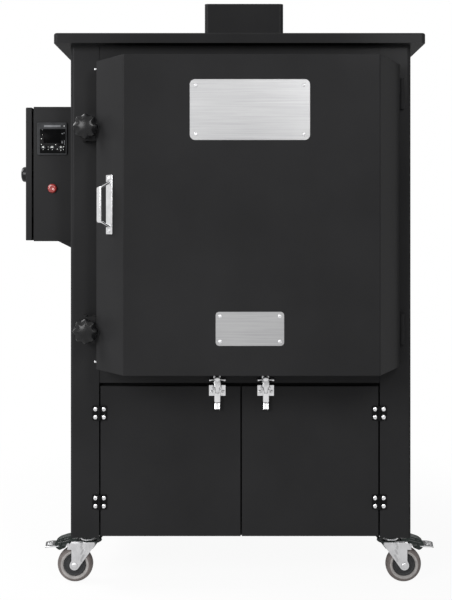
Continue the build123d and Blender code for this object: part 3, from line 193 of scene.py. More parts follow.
def rounded_polygon(points, radius, steps=5):
    """A polygon with a parabola at each corner, at most 45 hundredths of a side long."""
    points = np.asarray(points, float)
    before = np.roll(points, 1, axis=0) - points
    after = np.roll(points, -1, axis=0) - points
    start, end = [
        points + unit(way) * np.minimum(radius, 0.45 * np.linalg.norm(way, axis=1, keepdims=True))
        for way in (before, after)
    ]
    return bends(start, points, end, steps)


def softened_path(points, radius, steps=7):
    """An open path of straight runs with a parabola at each corner."""
    points = np.asarray(points, float)
    inner = points[1:-1]
    start = inner + unit(points[:-2] - inner) * radius
    end = inner + unit(points[2:] - inner) * radius
    return np.concatenate((points[:1], bends(start, inner, end, steps), points[-1:]))


def mirrored(half):
    """A profile of radius and distance, followed by its mirror image beyond distance nought."""
    return np.array(tuple(half) + tuple((radius, -distance) for radius, distance in half[::-1]))


def extruded(form, outline, origin, u, v, start, end, skin=0):
    """An outline in the plane of u and v, carried straight along their normal."""
    along = np.cross(u, v)
    flat = np.asarray(origin, float) + outline[:, :1] * u + outline[:, 1:] * v
    form.capped(np.stack((flat + start * along, flat + end * along)), skin)


def slab(form, x, y, z, skin=0):
    """A block between two values of X, of Y and of Z: a rectangle carried up Z."""
    x = sorted(x)
    outline = np.array(((x[0], y[0]), (x[1], y[0]), (x[1], y[1]), (x[0], y[1])), float)
    extruded(form, outline, (0, 0, 0), X, Y, z[0], z[1], skin)


def stepped(form, rings, origin, u, v, skin=0):
    """A closed plate from a list of outlines, each with its distance along the normal."""
    along = np.cross(u, v)
    rows = [np.asarray(origin, float) + o[:, :1] * u + o[:, 1:] * v + d * along for o, d in rings]
    form.capped(np.stack(rows), skin)


def plate(form, sizes, origin, u=X, v=Z, skin=0, steps=6):
    """A stepped plate with round corners, from widths, heights, corner radii and distances."""
    rings = [(rounded_outline(w, h, r, steps), d) for w, h, r, d in sizes]
    stepped(form, rings, origin, u, v, skin)


def circle(along, segments):
    """Angles round an axis, and the way out from the axis at each of them."""
    side = unit(np.cross(Z if abs(along[2]) < 0.9 else X, along))
    up = np.cross(along, side)
    angle = np.linspace(0, 2 * np.pi, segments, endpoint=False)
    return angle, np.cos(angle)[:, None] * side + np.sin(angle)[:, None] * up


def lathe(profile, centre, along, segments, scale):
    """Points of a profile of radius and distance turned about an axis, its radius times a scale."""
    profile = np.asarray(profile, float)
    radius = profile[:, :1] * np.ones(segments) * scale
    out = radius[..., None] * circle(along, segments)[1]
    return np.asarray(centre, float) + out + profile[:, 1:, None] * along


def turned(form, profile, centre, along, segments=48, scale=1.0, skin=0):
    """A turned profile whose ends are closed; scale can vary the radius by point and angle."""
    form.capped(lathe(profile, centre, along, segments, scale), skin)


def ring(form, section, centre, along, segments=48, scale=1.0, skin=0):
    """A turned section that is closed in itself and doesn't touch its axis."""
    form.grid(lathe(section, centre, along, segments, scale), skin)


def swept(form, profile, path, up, skin=0, widths=1.0):
    """A flat profile carried along a path: its first way lies across the path, its second way up.

    Its width is scaled by a number for each point of the path.
    """
    path = np.asarray(path, float)
    run = unit(np.gradient(path, axis=0))
    across = unit(np.cross(run, up))
    raised = np.cross(across, run)
    wide = across * np.broadcast_to(widths, len(path))[:, None]
    rows = profile[None, :, :1] * wide[:, None] + profile[None, :, 1:] * raised[:, None]
    form.capped(path[:, None] + rows, skin)


def screw_head(form, seat, outwards, radius, height, turn):
    """A domed head: a dome over its seat, with a cross-shaped recess sunk into its middle."""
    reach = np.concatenate((np.linspace(0.0, 0.66, 10), np.linspace(0.72, 1.0, 5), (1.0,)))
    angle, out = circle(outwards, 40)
    r, a = np.meshgrid(reach, angle, indexing="ij")
    dome = height * (1 - 0.62 * r**2.4)
    arm = np.minimum(np.abs(np.sin(a - turn)), np.abs(np.cos(a - turn))) * r
    recess = np.clip((0.17 - arm) / 0.07, 0, 1) * np.clip((0.62 - r) / 0.1, 0, 1)
    rise = dome - 0.55 * height * recess
    rise[-1] = 0
    across = radius * r[..., None] * out
    form.capped(np.asarray(seat, float) + across + rise[..., None] * outwards)


class Value:
    """A socket of a node tree that takes part in Python expressions through Math nodes."""

    def __init__(self, tree, socket):
        self.tree = tree
        self.socket = socket

    def math(self, operation, first, second):
        made = self.tree.node("ShaderNodeMath", {"operation": operation}, {0: first, 1: second})
        return Value(self.tree, made.outputs[0])

    def __add__(self, other):
        return self.math("ADD", self, other)

    def __sub__(self, other):
        return self.math("SUBTRACT", self, other)

    def __rsub__(self, other):
        return self.math("SUBTRACT", other, self)

    def __mul__(self, other):
        return self.math("MULTIPLY", self, other)

    def __pow__(self, other):
        return self.math("POWER", self, other)

    def over(self, low, high):
        """Nought at low and one at high, smooth between them and level beyond them."""
        values = {0: self, 1: low, 2: high, 3: 0.0, 4: 1.0}
        made = self.tree.node("ShaderNodeMapRange", {"interpolation_type": "SMOOTHSTEP"}, values)
        return Value(self.tree, made.outputs[0])

    __radd__ = __add__
    __rmul__ = __mul__


class Tree:
    """The node tree of a material or world, and the one way in which nodes are added to it."""

    def __init__(self, owner):
        owner.use_nodes = True
        self.tree = owner.node_tree
        self.tree.nodes.clear()

    def node(self, kind, settings, values):
        """Adds a node, its settings first, then the values or links of its sockets."""
        made = self.tree.nodes.new(kind)
        for key, setting in settings.items():
            setattr(made, key, setting)
        for key, value in values.items():
            self.put(made.inputs[key], value)
        return made

    def put(self, socket, value):
        """Links an output to a socket, or gives the socket a constant."""
        value = value.socket if isinstance(value, Value) else value
        if isinstance(value, bpy.types.NodeSocket):
            self.tree.links.new(value, socket)
        else:
            socket.default_value = value

    def seen(self):
        """One for what the camera sees, directly, in a reflection or through glass, else nought."""
        path = self.node("ShaderNodeLightPath", {}, {}).outputs
        straight, mirror = Value(self, path["Is Camera Ray"]), Value(self, path["Is Glossy Ray"])
        return straight + mirror + Value(self, path["Is Transmission Ray"])


class Finish(Tree):
    """One material with its shader, whose patterns read the place on the object."""

    def __init__(self, name, **constants):
        self.material = bpy.data.materials.new(name)
        super().__init__(self.material)
        words = {key.replace("_", " ").title().replace("Ior", "IOR"): v for key, v in constants.items()}
        self.shader = self.node("ShaderNodeBsdfPrincipled", {}, words)
        self.output = self.node("ShaderNodeOutputMaterial", {}, {0: self.shader.outputs[0]})
        self.place = self.node("ShaderNodeTexCoord", {}, {}).outputs["Object"]

    def axis(self, name):
        """One of the three numbers of the place on the surface, in metres."""
        parts = self.node("ShaderNodeSeparateXYZ", {}, {0: self.place})
        return Value(self, parts.outputs[name])

    def noise(self, scale, detail, roughness):
        """Cloudy noise: a scale for each of the three ways, or one for all, in features a metre."""
        place = self.place
        if isinstance(scale, tuple):
            ways = {0: place, 1: scale}
            place = self.node("ShaderNodeVectorMath", {"operation": "MULTIPLY"}, ways).outputs[0]
            scale = 1.0
        sizes = {"Vector": place, "Scale": scale, "Detail": detail, "Roughness": roughness}
        return Value(self, self.node("ShaderNodeTexNoise", {}, sizes).outputs[0])

    def cells(self, scale):
        """The distance to the nearest of many scattered points."""
        made = self.node("ShaderNodeTexVoronoi", {}, {"Vector": self.place, "Scale": scale})
        return Value(self, made.outputs["Distance"])

    def blend(self, factor, first, second):
        """A colour between two others."""
        made = self.node("ShaderNodeMix", {"data_type": "RGBA"}, {0: factor, 6: first, 7: second})
        return made.outputs[2]

    def shades(self, factor, colour, low, high):
        """A colour between a darker and a lighter shade of one colour."""
        return self.blend(factor, opaque(colour, low), opaque(colour, high))

    def feed(self, **inputs):
        """Sets what varies over the surface, such as the base colour and the roughness."""
        for key, value in inputs.items():
            self.put(self.shader.inputs[key.replace("_", " ").title()], value)

    def relief(self, height, depth, strength):
        """Raises the surface by a height of nought to one, times a depth in metres.

        It is a finish's last step, so it hands over the material.
        """
        sizes = {"Strength": strength, "Distance": depth, "Height": height}
        self.put(self.shader.inputs["Normal"], self.node("ShaderNodeBump", {}, sizes).outputs[0])
        return self.material


def opaque(colour, factor=1.0):
    """A colour of three numbers, made lighter or darker, with full alpha."""
    return tuple(channel * factor for channel in colour[:3]) + (1.0,)


def colour_choice(name, description, colour):
    """A property that holds a colour."""
    return bpy.props.FloatVectorProperty(
        name=name, description=description, subtype="COLOR", size=3, default=colour, min=0.0, max=1.0,
    )


def lamp_choice(name, description, watts):
    """A property that holds the power of a lamp."""
    return bpy.props.FloatProperty(
        name=name, description=description, unit="POWER", default=watts, min=0.0,
    )


class KilnFinish(bpy.types.PropertyGroup):
    """Colours of the kiln's finishes."""

    coat: colour_choice("Powder coat", "Colour of the painted steel", (0.0200, 0.0200, 0.0207))
    coat_roughness: bpy.props.FloatProperty(
        name="Coat roughness", description="How dull the painted steel is", subtype="FACTOR",
        default=0.5, min=0.0, max=1.0,
    )
    zinc: colour_choice("Zinc plate", "Colour of latches, screws and casters", (0.70, 0.70, 0.71))
    plastic: colour_choice("Black plastic", "Colour of knobs and hinge leaves", (0.012, 0.012, 0.013))
    tyre: colour_choice("Tyre", "Colour of the caster tyres", (0.165, 0.145, 0.138))
    lens: colour_choice("Lamp lens", "Colour of the pilot lamp", (0.30, 0.022, 0.018))
    brick: colour_choice("Firebrick", "Colour of the chamber lining", (0.80, 0.72, 0.58))


class KilnFitting(bpy.types.PropertyGroup):
    """Sizes of the kiln's fittings."""

    knob_lobes: bpy.props.IntProperty(
        name="Knob lobes", description="Points round each clamp knob", default=8, min=3, max=12,
    )
    knob_scallop: bpy.props.FloatProperty(
        name="Knob scallop", description="Depth of the hollows between the points, by radius",
        subtype="FACTOR", default=0.10, min=0.0, max=0.4,
    )
    lamp_facets: bpy.props.IntProperty(
        name="Lamp facets", description="Ribs round the pilot lamp's lens", default=20, min=8, max=40,
    )
    thread_pitch: bpy.props.FloatProperty(
        name="Clamp thread", description="Pitch of the clamp studs in millimetres",
        default=1.5, min=0.8, max=3.0,
    )
    coil_pitch: bpy.props.FloatProperty(
        name="Element coil", description="Pitch of the heating wire in millimetres",
        default=7.0, min=4.0, max=15.0,
    )


class KilnStage(bpy.types.PropertyGroup):
    """Light, floor and background."""

    key_power: lamp_choice("Key lamp", "Power of the large lamp at upper left", 68.0)
    side_power: lamp_choice("Side lamp", "Power of the tall lamp at left", 54.0)
    strip_power: lamp_choice("Strip lamp", "Power of the narrow lamp at upper right", 28.0)
    ambient: bpy.props.FloatProperty(
        name="Ambient", description="Strength of the soft light from all round",
        default=0.30, min=0.0, max=1.0,
    )
    focal_length: bpy.props.FloatProperty(
        name="Focal length", description="Of the lens, for a frame 36 mm high", unit="CAMERA",
        default=64.8, min=10.0,
    )


def powder_coat(colour, roughness):
    """Black powder coat: fine orange peel, faint clouding and dust, a few dull rubbed spots."""
    made = Finish("Black powder coat", specular_ior_level=0.004, coat_weight=0.05,
                  coat_roughness=0.2)
    cloud = made.noise(3.1, 4.0, 0.6)
    streak = made.noise((14.0, 14.0, 2.2), 3.0, 0.5)
    rubbed = made.noise(9.0, 6.0, 0.7).over(0.62, 0.74)
    speckle = made.cells(420.0).over(0.30, 0.02)
    tone = cloud.over(0.3, 0.7) * 0.55 + streak * 0.35 + rubbed * 0.12
    made.feed(base_color=made.shades(tone, colour, 0.86, 1.18))
    made.feed(roughness=(cloud - 0.5) * 0.10 + (streak - 0.5) * 0.05 + rubbed * 0.05 + roughness)
    peel = made.noise(520.0, 2.0, 0.5)
    return made.relief(peel * 0.8 + speckle * 0.2, 0.00022, 0.32)


def plated(name, colour, roughness, spotting):
    """Zinc or chrome plate: rolled-in lines, clouded lustre and small dark spots."""
    made = Finish(name, metallic=1.0, specular_ior_level=0.5)
    lines = made.noise((900.0, 900.0, 70.0), 2.0, 0.5)
    cloud = made.noise(46.0, 4.0, 0.6)
    spots = made.noise(160.0, 5.0, 0.7).over(0.63, 0.72)
    tone = cloud.over(0.25, 0.75) * 0.6 + lines * 0.4
    plain = made.shades(tone, colour, 0.80, 1.06)
    made.feed(base_color=made.blend(spots * spotting, plain, opaque(colour, 0.38)))
    made.feed(roughness=lines * 0.10 + cloud * 0.10 + spots * 0.2 + (roughness - 0.08))
    return made.relief(lines * 0.6 + cloud * 0.4, 0.00012, 0.25)


def brushed_plate():
    """Bare aluminium label stock, brushed across, with handling marks."""
    made = Finish("Brushed aluminium", metallic=1.0)
    brush = made.noise((8.0, 60.0, 1400.0), 5.0, 0.6)
    cloud = made.noise(9.0, 3.0, 0.5)
    marks = made.noise((60.0, 60.0, 240.0), 6.0, 0.7).over(0.60, 0.72)
    tone = brush.over(0.3, 0.7) * 0.7 + cloud * 0.3
    made.feed(base_color=made.blend(tone, (0.32, 0.32, 0.33, 1.0), (0.43, 0.43, 0.43, 1.0)))
    made.feed(roughness=brush * 0.16 + marks * 0.10 + 0.26)
    return made.relief(brush, 0.00008, 0.3)


def moulded(name, colour, roughness, grain, level=0.42):
    """Moulded plastic: a fine spark-eroded grain, slight bloom and rubbed high spots."""
    made = Finish(name, specular_ior_level=level)
    cloud = made.noise(60.0, 4.0, 0.6)
    skin = made.noise(1500.0, 2.0, 0.5)
    rubbed = made.noise(110.0, 6.0, 0.7).over(0.6, 0.72)
    tone = cloud.over(0.3, 0.7) * 0.6 + rubbed * 0.4
    made.feed(base_color=made.shades(tone, colour, 0.85, 1.5))
    made.feed(roughness=cloud * 0.10 + rubbed * 0.06 + (roughness - 0.06))
    return made.relief(skin, grain, 0.35)


def rubber(name, colour):
    """Tyre rubber: matt, with dust in its pores and faint moulding rings about the height."""
    made = Finish(name, specular_ior_level=0.25)
    cloud = made.noise(70.0, 5.0, 0.65)
    pores = made.cells(900.0)
    scuff = made.noise((300.0, 300.0, 60.0), 4.0, 0.6).over(0.55, 0.7)
    tone = cloud.over(0.3, 0.7) * 0.6 + scuff * 0.4
    made.feed(base_color=made.shades(tone, colour, 0.78, 1.22))
    made.feed(roughness=cloud * 0.14 + scuff * 0.08 + 0.60)
    return made.relief(pores * 0.5 + cloud * 0.5, 0.0003, 0.5)


def lining_brick(colour):
    """Insulating firebrick in courses: joints, open pores and warm stains round the elements."""
    made = Finish("Insulating firebrick", specular_ior_level=0.2)
    along_wall = made.axis("X") + made.axis("Y")
    wall = made.node("ShaderNodeCombineXYZ", {}, {0: along_wall, 1: made.axis("Z")}).outputs[0]
    sizes = {
        "Vector": wall, "Scale": 1.0, "Mortar Size": 0.0012, "Mortar Smooth": 0.3,
        "Brick Width": 0.230, "Row Height": 0.076,
    }
    courses = made.node("ShaderNodeTexBrick", {}, sizes)
    joint = Value(made, courses.outputs["Fac"])
    pores = made.cells(420.0).over(0.42, 0.16)
    cloud = made.noise(14.0, 5.0, 0.6)
    stain = made.noise(5.0, 4.0, 0.6).over(0.52, 0.72)
    plain = made.shades(cloud.over(0.3, 0.7), colour, 0.86, 1.12)
    warm = made.blend(stain * 0.5, plain, (0.55, 0.38, 0.22, 1.0))
    made.feed(base_color=made.blend(joint * 0.45 + pores * 0.25, warm, (0.30, 0.24, 0.18, 1.0)))
    made.feed(roughness=cloud * 0.1 + 0.82)
    return made.relief((1.0 - joint) * 0.6 + (1.0 - pores) * 0.4, 0.0008, 0.7)


def fibre(name, colour):
    """Ceramic fibre: matted strands, soft hollows and a little soot."""
    made = Finish(name, specular_ior_level=0.1)
    strands = made.noise((420.0, 420.0, 160.0), 6.0, 0.7)
    hollows = made.noise(38.0, 4.0, 0.6)
    soot = made.noise(7.0, 5.0, 0.65).over(0.56, 0.74)
    tone = strands.over(0.3, 0.7) * 0.6 + hollows * 0.4
    plain = made.shades(tone, colour, 0.80, 1.05)
    made.feed(base_color=made.blend(soot * 0.35, plain, (0.34, 0.28, 0.22, 1.0)))
    made.feed(roughness=hollows * 0.08 + 0.88)
    return made.relief(strands * 0.6 + hollows * 0.4, 0.0012, 0.6)


def fired_ceramic(name, colour):
    """Fired ceramic tube: fine speckle, glaze-like bloom and brown firing marks."""
    made = Finish(name, specular_ior_level=0.3)
    speckle = made.cells(700.0).over(0.30, 0.05)
    cloud = made.noise(26.0, 4.0, 0.6)
    plain = made.shades(cloud.over(0.3, 0.7), colour, 0.84, 1.08)
    made.feed(base_color=made.blend(speckle * 0.3, plain, (0.32, 0.22, 0.14, 1.0)))
    made.feed(roughness=cloud * 0.12 + 0.66)
    return made.relief(made.noise(600.0, 3.0, 0.6), 0.0003, 0.4)


def oxidised_wire():
    """Resistance wire after many firings: grey oxide with paler scale."""
    made = Finish("Oxidised wire", metallic=0.4)
    scale = made.noise(240.0, 5.0, 0.65)
    tone = scale.over(0.35, 0.7)
    made.feed(base_color=made.blend(tone, (0.10, 0.10, 0.11, 1.0), (0.34, 0.32, 0.30, 1.0)))
    made.feed(roughness=scale * 0.2 + 0.5)
    return made.relief(scale, 0.0002, 0.5)


def lamp_lens(colour):
    """Moulded red lens: its red clouded lighter and darker at random, with a fine grain."""
    made = Finish("Red lens", specular_ior_level=0.5, coat_weight=0.6, coat_roughness=0.05)
    cloud = made.noise(240.0, 3.0, 0.5)
    made.feed(base_color=made.shades(cloud, colour, 0.75, 1.15))
    made.feed(roughness=cloud * 0.1 + 0.16)
    return made.relief(made.noise(1800.0, 2.0, 0.5), 0.00005, 0.2)


def window_glass():
    """The instrument's dark smoked window with faint smears."""
    made = Finish("Smoked window", specular_ior_level=0.015)
    smear = made.noise((120.0, 120.0, 420.0), 4.0, 0.6)
    made.feed(base_color=made.blend(smear, (0.0032, 0.0033, 0.0035, 1.0), (0.0068, 0.0070, 0.0074, 1.0)))
    made.feed(roughness=smear * 0.12 + 0.08)
    return made.relief(smear, 0.00003, 0.2)


def indicator():
    """Unlit pale indicator lenses and printed marks of the instrument."""
    made = Finish("Pale indicator", specular_ior_level=0.5)
    grain = made.noise(900.0, 3.0, 0.5)
    made.feed(base_color=made.blend(grain, (0.62, 0.63, 0.62, 1.0), (0.86, 0.87, 0.85, 1.0)))
    made.feed(roughness=grain * 0.15 + 0.3)
    return made.relief(grain, 0.00004, 0.3)


FINISHES = {}


def finish(name):
    """The finish of that name, made at its first use."""
    if name not in FINISHES:
        colours = bpy.context.scene.kiln_finish
        makers = {
            "coat": lambda: powder_coat(colours.coat, colours.coat_roughness),
            "zinc": lambda: plated("Bright zinc plate", colours.zinc, 0.30, 0.6),
            "fork zinc": lambda: plated("Satin zinc plate", opaque(colours.zinc, 0.79), 0.36, 0.5),
            # Painted light on the casters and latch keepers: the half-dark plate paints shade in the
            # fork's crease and a lit rim on the pedal's tongue; the grey plate paints highlight lines on
            # the pedal and shade on its tongue; the darkest plate paints shade on the fork's crown, web,
            # stop, inner cheeks and races and on the keepers' shelves, besides the real dark pedal
            # housing.
            "half zinc for painted light": lambda: plated("Half-dark zinc for painted crease shade and rim light", opaque(colours.zinc, 0.60), 0.36, 0.5),
            "grey zinc for painted light": lambda: plated("Grey zinc for painted highlights and shade", opaque(colours.zinc, 0.16), 0.40, 0.5),
            "chrome": lambda: plated("Bright chrome plate", (0.72, 0.72, 0.73), 0.17, 0.15),
            "dark zinc and painted shade": lambda: plated("Dark passivated zinc and painted shade", (0.034, 0.040, 0.038), 0.34, 0.5),
            "label": brushed_plate,
            "plastic": lambda: moulded("Black moulded plastic", opaque(colours.plastic, 0.5), 0.28,
                                       0.00005, 0.24),
            "hinge plastic": lambda: moulded("Black hinge plastic", opaque(colours.plastic, 0.35), 0.46,
                                             0.0001, 0.06),
            "case": lambda: moulded("Instrument case", (0.036, 0.037, 0.039), 0.42, 0.00003, 0.06),
            "display": lambda: moulded("Dark display", (0.0028, 0.0028, 0.0030), 0.3, 0.00002, 0.012),
            "tyre": lambda: rubber("Grey-brown tyre", colours.tyre),
            # Painted highlight: the lighter ring on each tyre's flank.
            "flank": lambda: rubber("Tyre flank with painted light", (0.35, 0.335, 0.325, 1.0)),
            "core": lambda: rubber("Dark wheel core", (0.030, 0.031, 0.032)),
            "brick": lambda: lining_brick(colours.brick),
            "fibre": lambda: fibre("Ceramic fibre board", (0.80, 0.78, 0.72)),
            "rope": lambda: fibre("Ceramic fibre rope", (0.74, 0.72, 0.66)),
            "tube": lambda: fired_ceramic("Fired ceramic tube", (0.76, 0.70, 0.58)),
            "wire": oxidised_wire,
            "lens": lambda: lamp_lens(colours.lens),
            "window": window_glass,
            "indicator": indicator,
            # Also painted glints: the narrow pale bars beside the display.
            "label and painted glints": lambda: moulded("Bare label strip and painted glints", (0.150, 0.153, 0.160), 0.4, 0.00005, 0.1),
        }
        FINISHES[name] = makers[name]()
    return FINISHES[name]


# Places and sizes that the source's named values give, in layout millimetres.
FRONT_Y = -350.0
REAR_Y = 350.0
DOOR_FACE_Y = -518.0
DOOR_BOTTOM = 518.8
DOOR_TOP = 1214.4
DOOR_SIDE_X = -323.0
KNOB_THICKNESS = 20.0
HANDLE_MIDDLE = np.array((-284.93, -470.62, 889.9))
SLANT_ALONG = np.array((0.5648, -0.8252, 0.0))
SLANT_OUT = np.array((-0.8252, -0.5648, 0.0))
# Each plate's height of its middle, width, height, corner radius and inset of its screws.
PLATES = ((1094.2, 260.0, 131.6, 11.7, 13.0), (620.8, 148.0, 73.6, 7.8, 9.5))
PLATE_X = 21.5
HINGE_AXIS_X = 323.5
HINGE_LEVELS = (204.3, 409.9)
HINGE_HALF = 16.65
LATCH_MIDDLE_X = 4.0
LATCH_OFFSET = 56.0
# Plate and lever stand a little right of the latch's middle, as in the photo.
LATCH_PLATE_SHIFT = 0.6
LEVER_SHIFT = 0.9
# Pivots and the hook's bar, as places across Y and Z.
LEVER_PIVOT = (-358.0, 469.0)
HOOK_PIVOT = (-358.5, 461.0)
HOOK_BAR = (-355.0, 487.4)
RAIL_BOTTOM = 479.4
LOCK_RADIUS = 18.5
LOCK_INSET = 36.0
CONTROLS_X = -449.5
PANEL_Y = -250.0
CONTROLLER_Z = 1052.4
KEY_PITCH = 21.3
KEY_Z = CONTROLLER_Z - 21.6
CASTER_X = 359.0
CASTER_FRONT_Y = -285.0
CASTER_REAR_Y = 285.0
WHEEL_RADIUS = 42.0
WHEEL_TRAIL = 30.0
CHEEK_FACE = 20.0
CHEEK_SHEET = 2.6
# The pedal's axis: its distance from the swivel axis, and its height.
PEDAL_AXIS = (44.0, 92.0)
MOUNT_TOP = 116.3
AXLE = ((0, -20.0), (4.0, -20.0), (4.0, 20.0), (0, 20.0))
CHAMBER_X = 13.0
CHAMBER_WIDTH = 400.0
CHAMBER_BOTTOM = 621.4
CHAMBER_TOP = 1101.4
ELEMENTS = 6
ELEMENT_RISE = 65.0
ELEMENT_PITCH = 70.0
ELEMENT_BEND = 14.0
ELEMENT_END_Y = 122.0


def threaded(form, centre, along, radius, pitch, start, end):
    """A screw thread: a rod whose radius follows a triangle wave of distance less angle."""
    distance = np.linspace(start, end, int((end - start) / pitch * 5))
    angle, out = circle(along, 24)
    d, a = np.meshgrid(distance, angle, indexing="ij")
    wave = np.abs(((d / pitch - a / (2 * np.pi)) % 1.0) * 2 - 1)
    deep = np.clip((d - start) / pitch, 0, 1) * np.clip((end - d) / pitch, 0, 1)
    r = radius - 0.6 * pitch * (1 - deep * wave)
    form.capped(np.asarray(centre, float) + r[..., None] * out + d[..., None] * along)


def star_knob(form, centre, radius, lobes, scallop):
    """A lobed dome: round its rim the radius drops from each point to a hollow by a power law.

    The lobes fade to nothing towards the middle of the face, so that it is smooth there.
    The centre lies on the back plane of the lobed part, and the face looks along -Y.
    """
    reach = np.linspace(0.95, 0.0, 22)
    sphere = 60.0
    face = KNOB_THICKNESS - (sphere - np.sqrt(sphere**2 - (reach * radius) ** 2))
    back = np.array(((0, -16.6), (11.2, -16.6), (12, -15.8), (12.4, -3), (14, -0.6), (16.5, 0.0),
                     (25.5, 0), (27.4, 0.6), (28.3, 1.8), (28.5, 3.4), (28.5, 7.6), (28.4, 9.4),
                     (28.0, 11.4), (27.6, 12.9)))
    profile = np.concatenate((back, np.stack((reach * radius, face), axis=-1)))
    profile[: len(back), 0] *= radius / back[:, 0].max()
    angle, out = circle(-Y, lobes * 20)
    from_point = np.abs(((angle * lobes / (2 * np.pi) + 0.5) % 1.0) - 0.5) * 2
    rounded = np.sqrt(from_point**2 + 0.006) - math.sqrt(0.006)
    hollow = scallop * (1 - (1 - np.clip(rounded, 0, 1)) ** 1.7)
    weight = np.clip((profile[:, 0] / radius - 0.30) / 0.5, 0, 1) ** 1.6
    r = profile[:, :1] * (1 - np.clip(weight * 1.3, 0, 1)[:, None] * hollow)
    raised = np.clip((profile[:, 0] / radius - 0.35) / 0.6, 0, 1)[:, None] ** 2 * (profile[:, 1:] > 12)
    sunk = raised * (0.3 + hollow * 18.0)
    along = profile[:, 1:] - sunk
    form.capped(np.asarray(centre, float) + r[..., None] * out - along[..., None] * Y)


def hexagon(form, seat, outwards, radius, height):
    """A six-sided head with a chamfered rim: a round profile whose radius follows a hexagon."""
    rim = ((0, 0), (radius, 0), (radius, height * 0.8), (radius * 0.86, height), (0, height))
    share = np.array((0, 1, 1, 0, 0))[:, None]
    turned(form, rim, seat, outwards, 36, scale=1 + share * (hexagon_edge(36) - 1))


class KILN_OT_clamp_knobs(bpy.types.Operator):
    """Makes the two star knobs with their threaded studs, and their washers"""

    bl_idname = "kiln.clamp_knobs"
    bl_label = "Clamp knobs"

    def execute(self, context):
        sizes = context.scene.kiln_fitting
        for level in ("lower", "upper"):
            node = "clamp_knob_" + level
            low, high = cad_span(node)
            middle = (low + high) / 2
            back = low[1] + KNOB_THICKNESS
            behind = back + 14.0
            knob = Form()
            centre = (middle[0], back, middle[2])
            star_knob(knob, centre, (high[0] - low[0]) / 2, sizes.knob_lobes, sizes.knob_scallop)
            place_piece("star_knob_" + level, knob, node, ["plastic"], (node,))
            stud = Form()
            tail = (middle[0], behind, middle[2])
            threaded(stud, tail, Y, 5.0, sizes.thread_pitch, 0.0, high[1] - behind)
            place_piece("clamp_stud_" + level, stud, node, ["zinc"])
            washer = Form()
            node = "clamp_washer_" + level
            low, high = cad_span(node)
            middle = (low + high) / 2
            outer = (high[0] - low[0]) / 2
            rim = ((5.4, 0), (outer - 0.5, 0), (outer, 0.5), (outer, 2.5), (outer - 0.5, 3), (5.4, 3),
                   (5.4, 0))
            front = (middle[0], low[1], middle[2])
            ring(washer, rim, front, Y)
            place_piece("thrust_washer_" + level, washer, node, ["zinc"], (node,))
        return {"FINISHED"}


class KILN_OT_door_handle(bpy.types.Operator):
    """Makes the pull handle on the door's left slant, with its plate and bent flat grip"""

    bl_idname = "kiln.door_handle"
    bl_label = "Door handle"

    def execute(self, context):
        handle = Form()
        sizes = ((28.0, 131.5, 2.2, 0.0), (28.0, 131.5, 2.2, 3.2), (26.8, 130.3, 1.8, 4.0))
        plate(handle, sizes, HANDLE_MIDDLE, SLANT_ALONG)
        grip = softened_path([(-49.8, 2.0), (-37.4, 27.9), (37.4, 27.9), (49.8, 2.0)], 3.2)
        path = HANDLE_MIDDLE + grip[:, :1] * Z + grip[:, 1:] * SLANT_OUT
        section = rounded_outline(4.5, 17.0, 1.3, 4)
        swept(handle, section, path, SLANT_ALONG)
        for level in (-1, 1):
            weld = rounded_outline(19.0, 8.0, 2.5, 4)
            foot = HANDLE_MIDDLE + level * 48.0 * Z + 3.6 * SLANT_OUT
            pad = [(weld, 0.0), (weld * 0.96, 1.0), (weld * (0.92, 0.72), 1.8)]
            stepped(handle, pad, foot, SLANT_ALONG, Z)
        place_piece("pull_handle", handle, "kiln_door", ["chrome"], ("door_handle",))
        return {"FINISHED"}


class KILN_OT_nameplates(bpy.types.Operator):
    """Makes the two bare aluminium plates on the door's face"""

    bl_idname = "kiln.nameplates"
    bl_label = "Nameplates"

    def execute(self, context):
        plates = Form()
        for z, width, height, radius, _ in PLATES:
            sizes = ((width, height, radius, 0.0), (width, height, radius, 1.0),
                     (width - 1.2, height - 1.2, radius - 0.6, 1.5))
            plate(plates, sizes, (PLATE_X, DOOR_FACE_Y, z), steps=10)
        place_piece("bare_nameplates", plates, "kiln_door", ["label"],
                    ("nameplates",))
        return {"FINISHED"}


class KILN_OT_screws(bpy.types.Operator):
    """Makes the screws of plates, handle, door side, casters, chimney and terminal cover"""

    bl_idname = "kiln.screws"
    bl_label = "Screws"

    def execute(self, context):
        door = Form()
        seat = DOOR_FACE_Y - 1.5
        for z, width, height, _, inset in PLATES:
            for side, level in CORNERS:
                place = (PLATE_X + side * (width / 2 - inset), seat, z + level * (height / 2 - inset))
                screw_head(door, place, -Y, 4.0, 2.3, 0.4 * side + level)
        for level in (-1, 1):
            place = HANDLE_MIDDLE + level * 57.0 * Z + 4.0 * SLANT_OUT
            screw_head(door, place, SLANT_OUT, 5.2, 2.6, 0.7 * level)
        for z in (DOOR_BOTTOM + 14.5, DOOR_TOP - 14.5):
            pin = ((0, 0), (2.1, 0), (2.1, 5), (3, 5.3), (3, 6.6), (2.4, 7.6), (0, 8))
            turned(door, pin, (DOOR_SIDE_X, FRONT_Y - 40.0, z), -X, 24)
        place_piece("door_screw_heads", door, "kiln_door", ["zinc"], ("door_screws",))
        body = Form()
        for side in (-1, 1):
            for y in (CASTER_FRONT_Y, CASTER_REAR_Y):
                for dx, dy in CORNERS:
                    seat = (side * CASTER_X + dx * 20, y + dy * 35, MOUNT_TOP)
                    hexagon(body, seat, -Z, 6.2, 3.5)
        flange = 107.5
        flange_top = cad_span("chimney_box")[0][2] + 2.0
        cover_low, cover_high = cad_span("terminal_cover")
        middle, half = (cover_low + cover_high) / 2, (cover_high - cover_low) / 2 - 7.0
        for dx, dy in CORNERS:
            place = (CHAMBER_X + dx * flange, dy * flange, flange_top)
            screw_head(body, place, Z, 4.0, 2.8, dx + 0.3 * dy)
            x, z = middle[0] + dx * half[0], middle[2] + dy * half[2]
            screw_head(body, (x, REAR_Y, z), Y, 4.0, 2.8, x + z)
        place_piece("casing_screw_heads", body, "kiln_body", ["zinc"], ("casing_screws",))
        return {"FINISHED"}


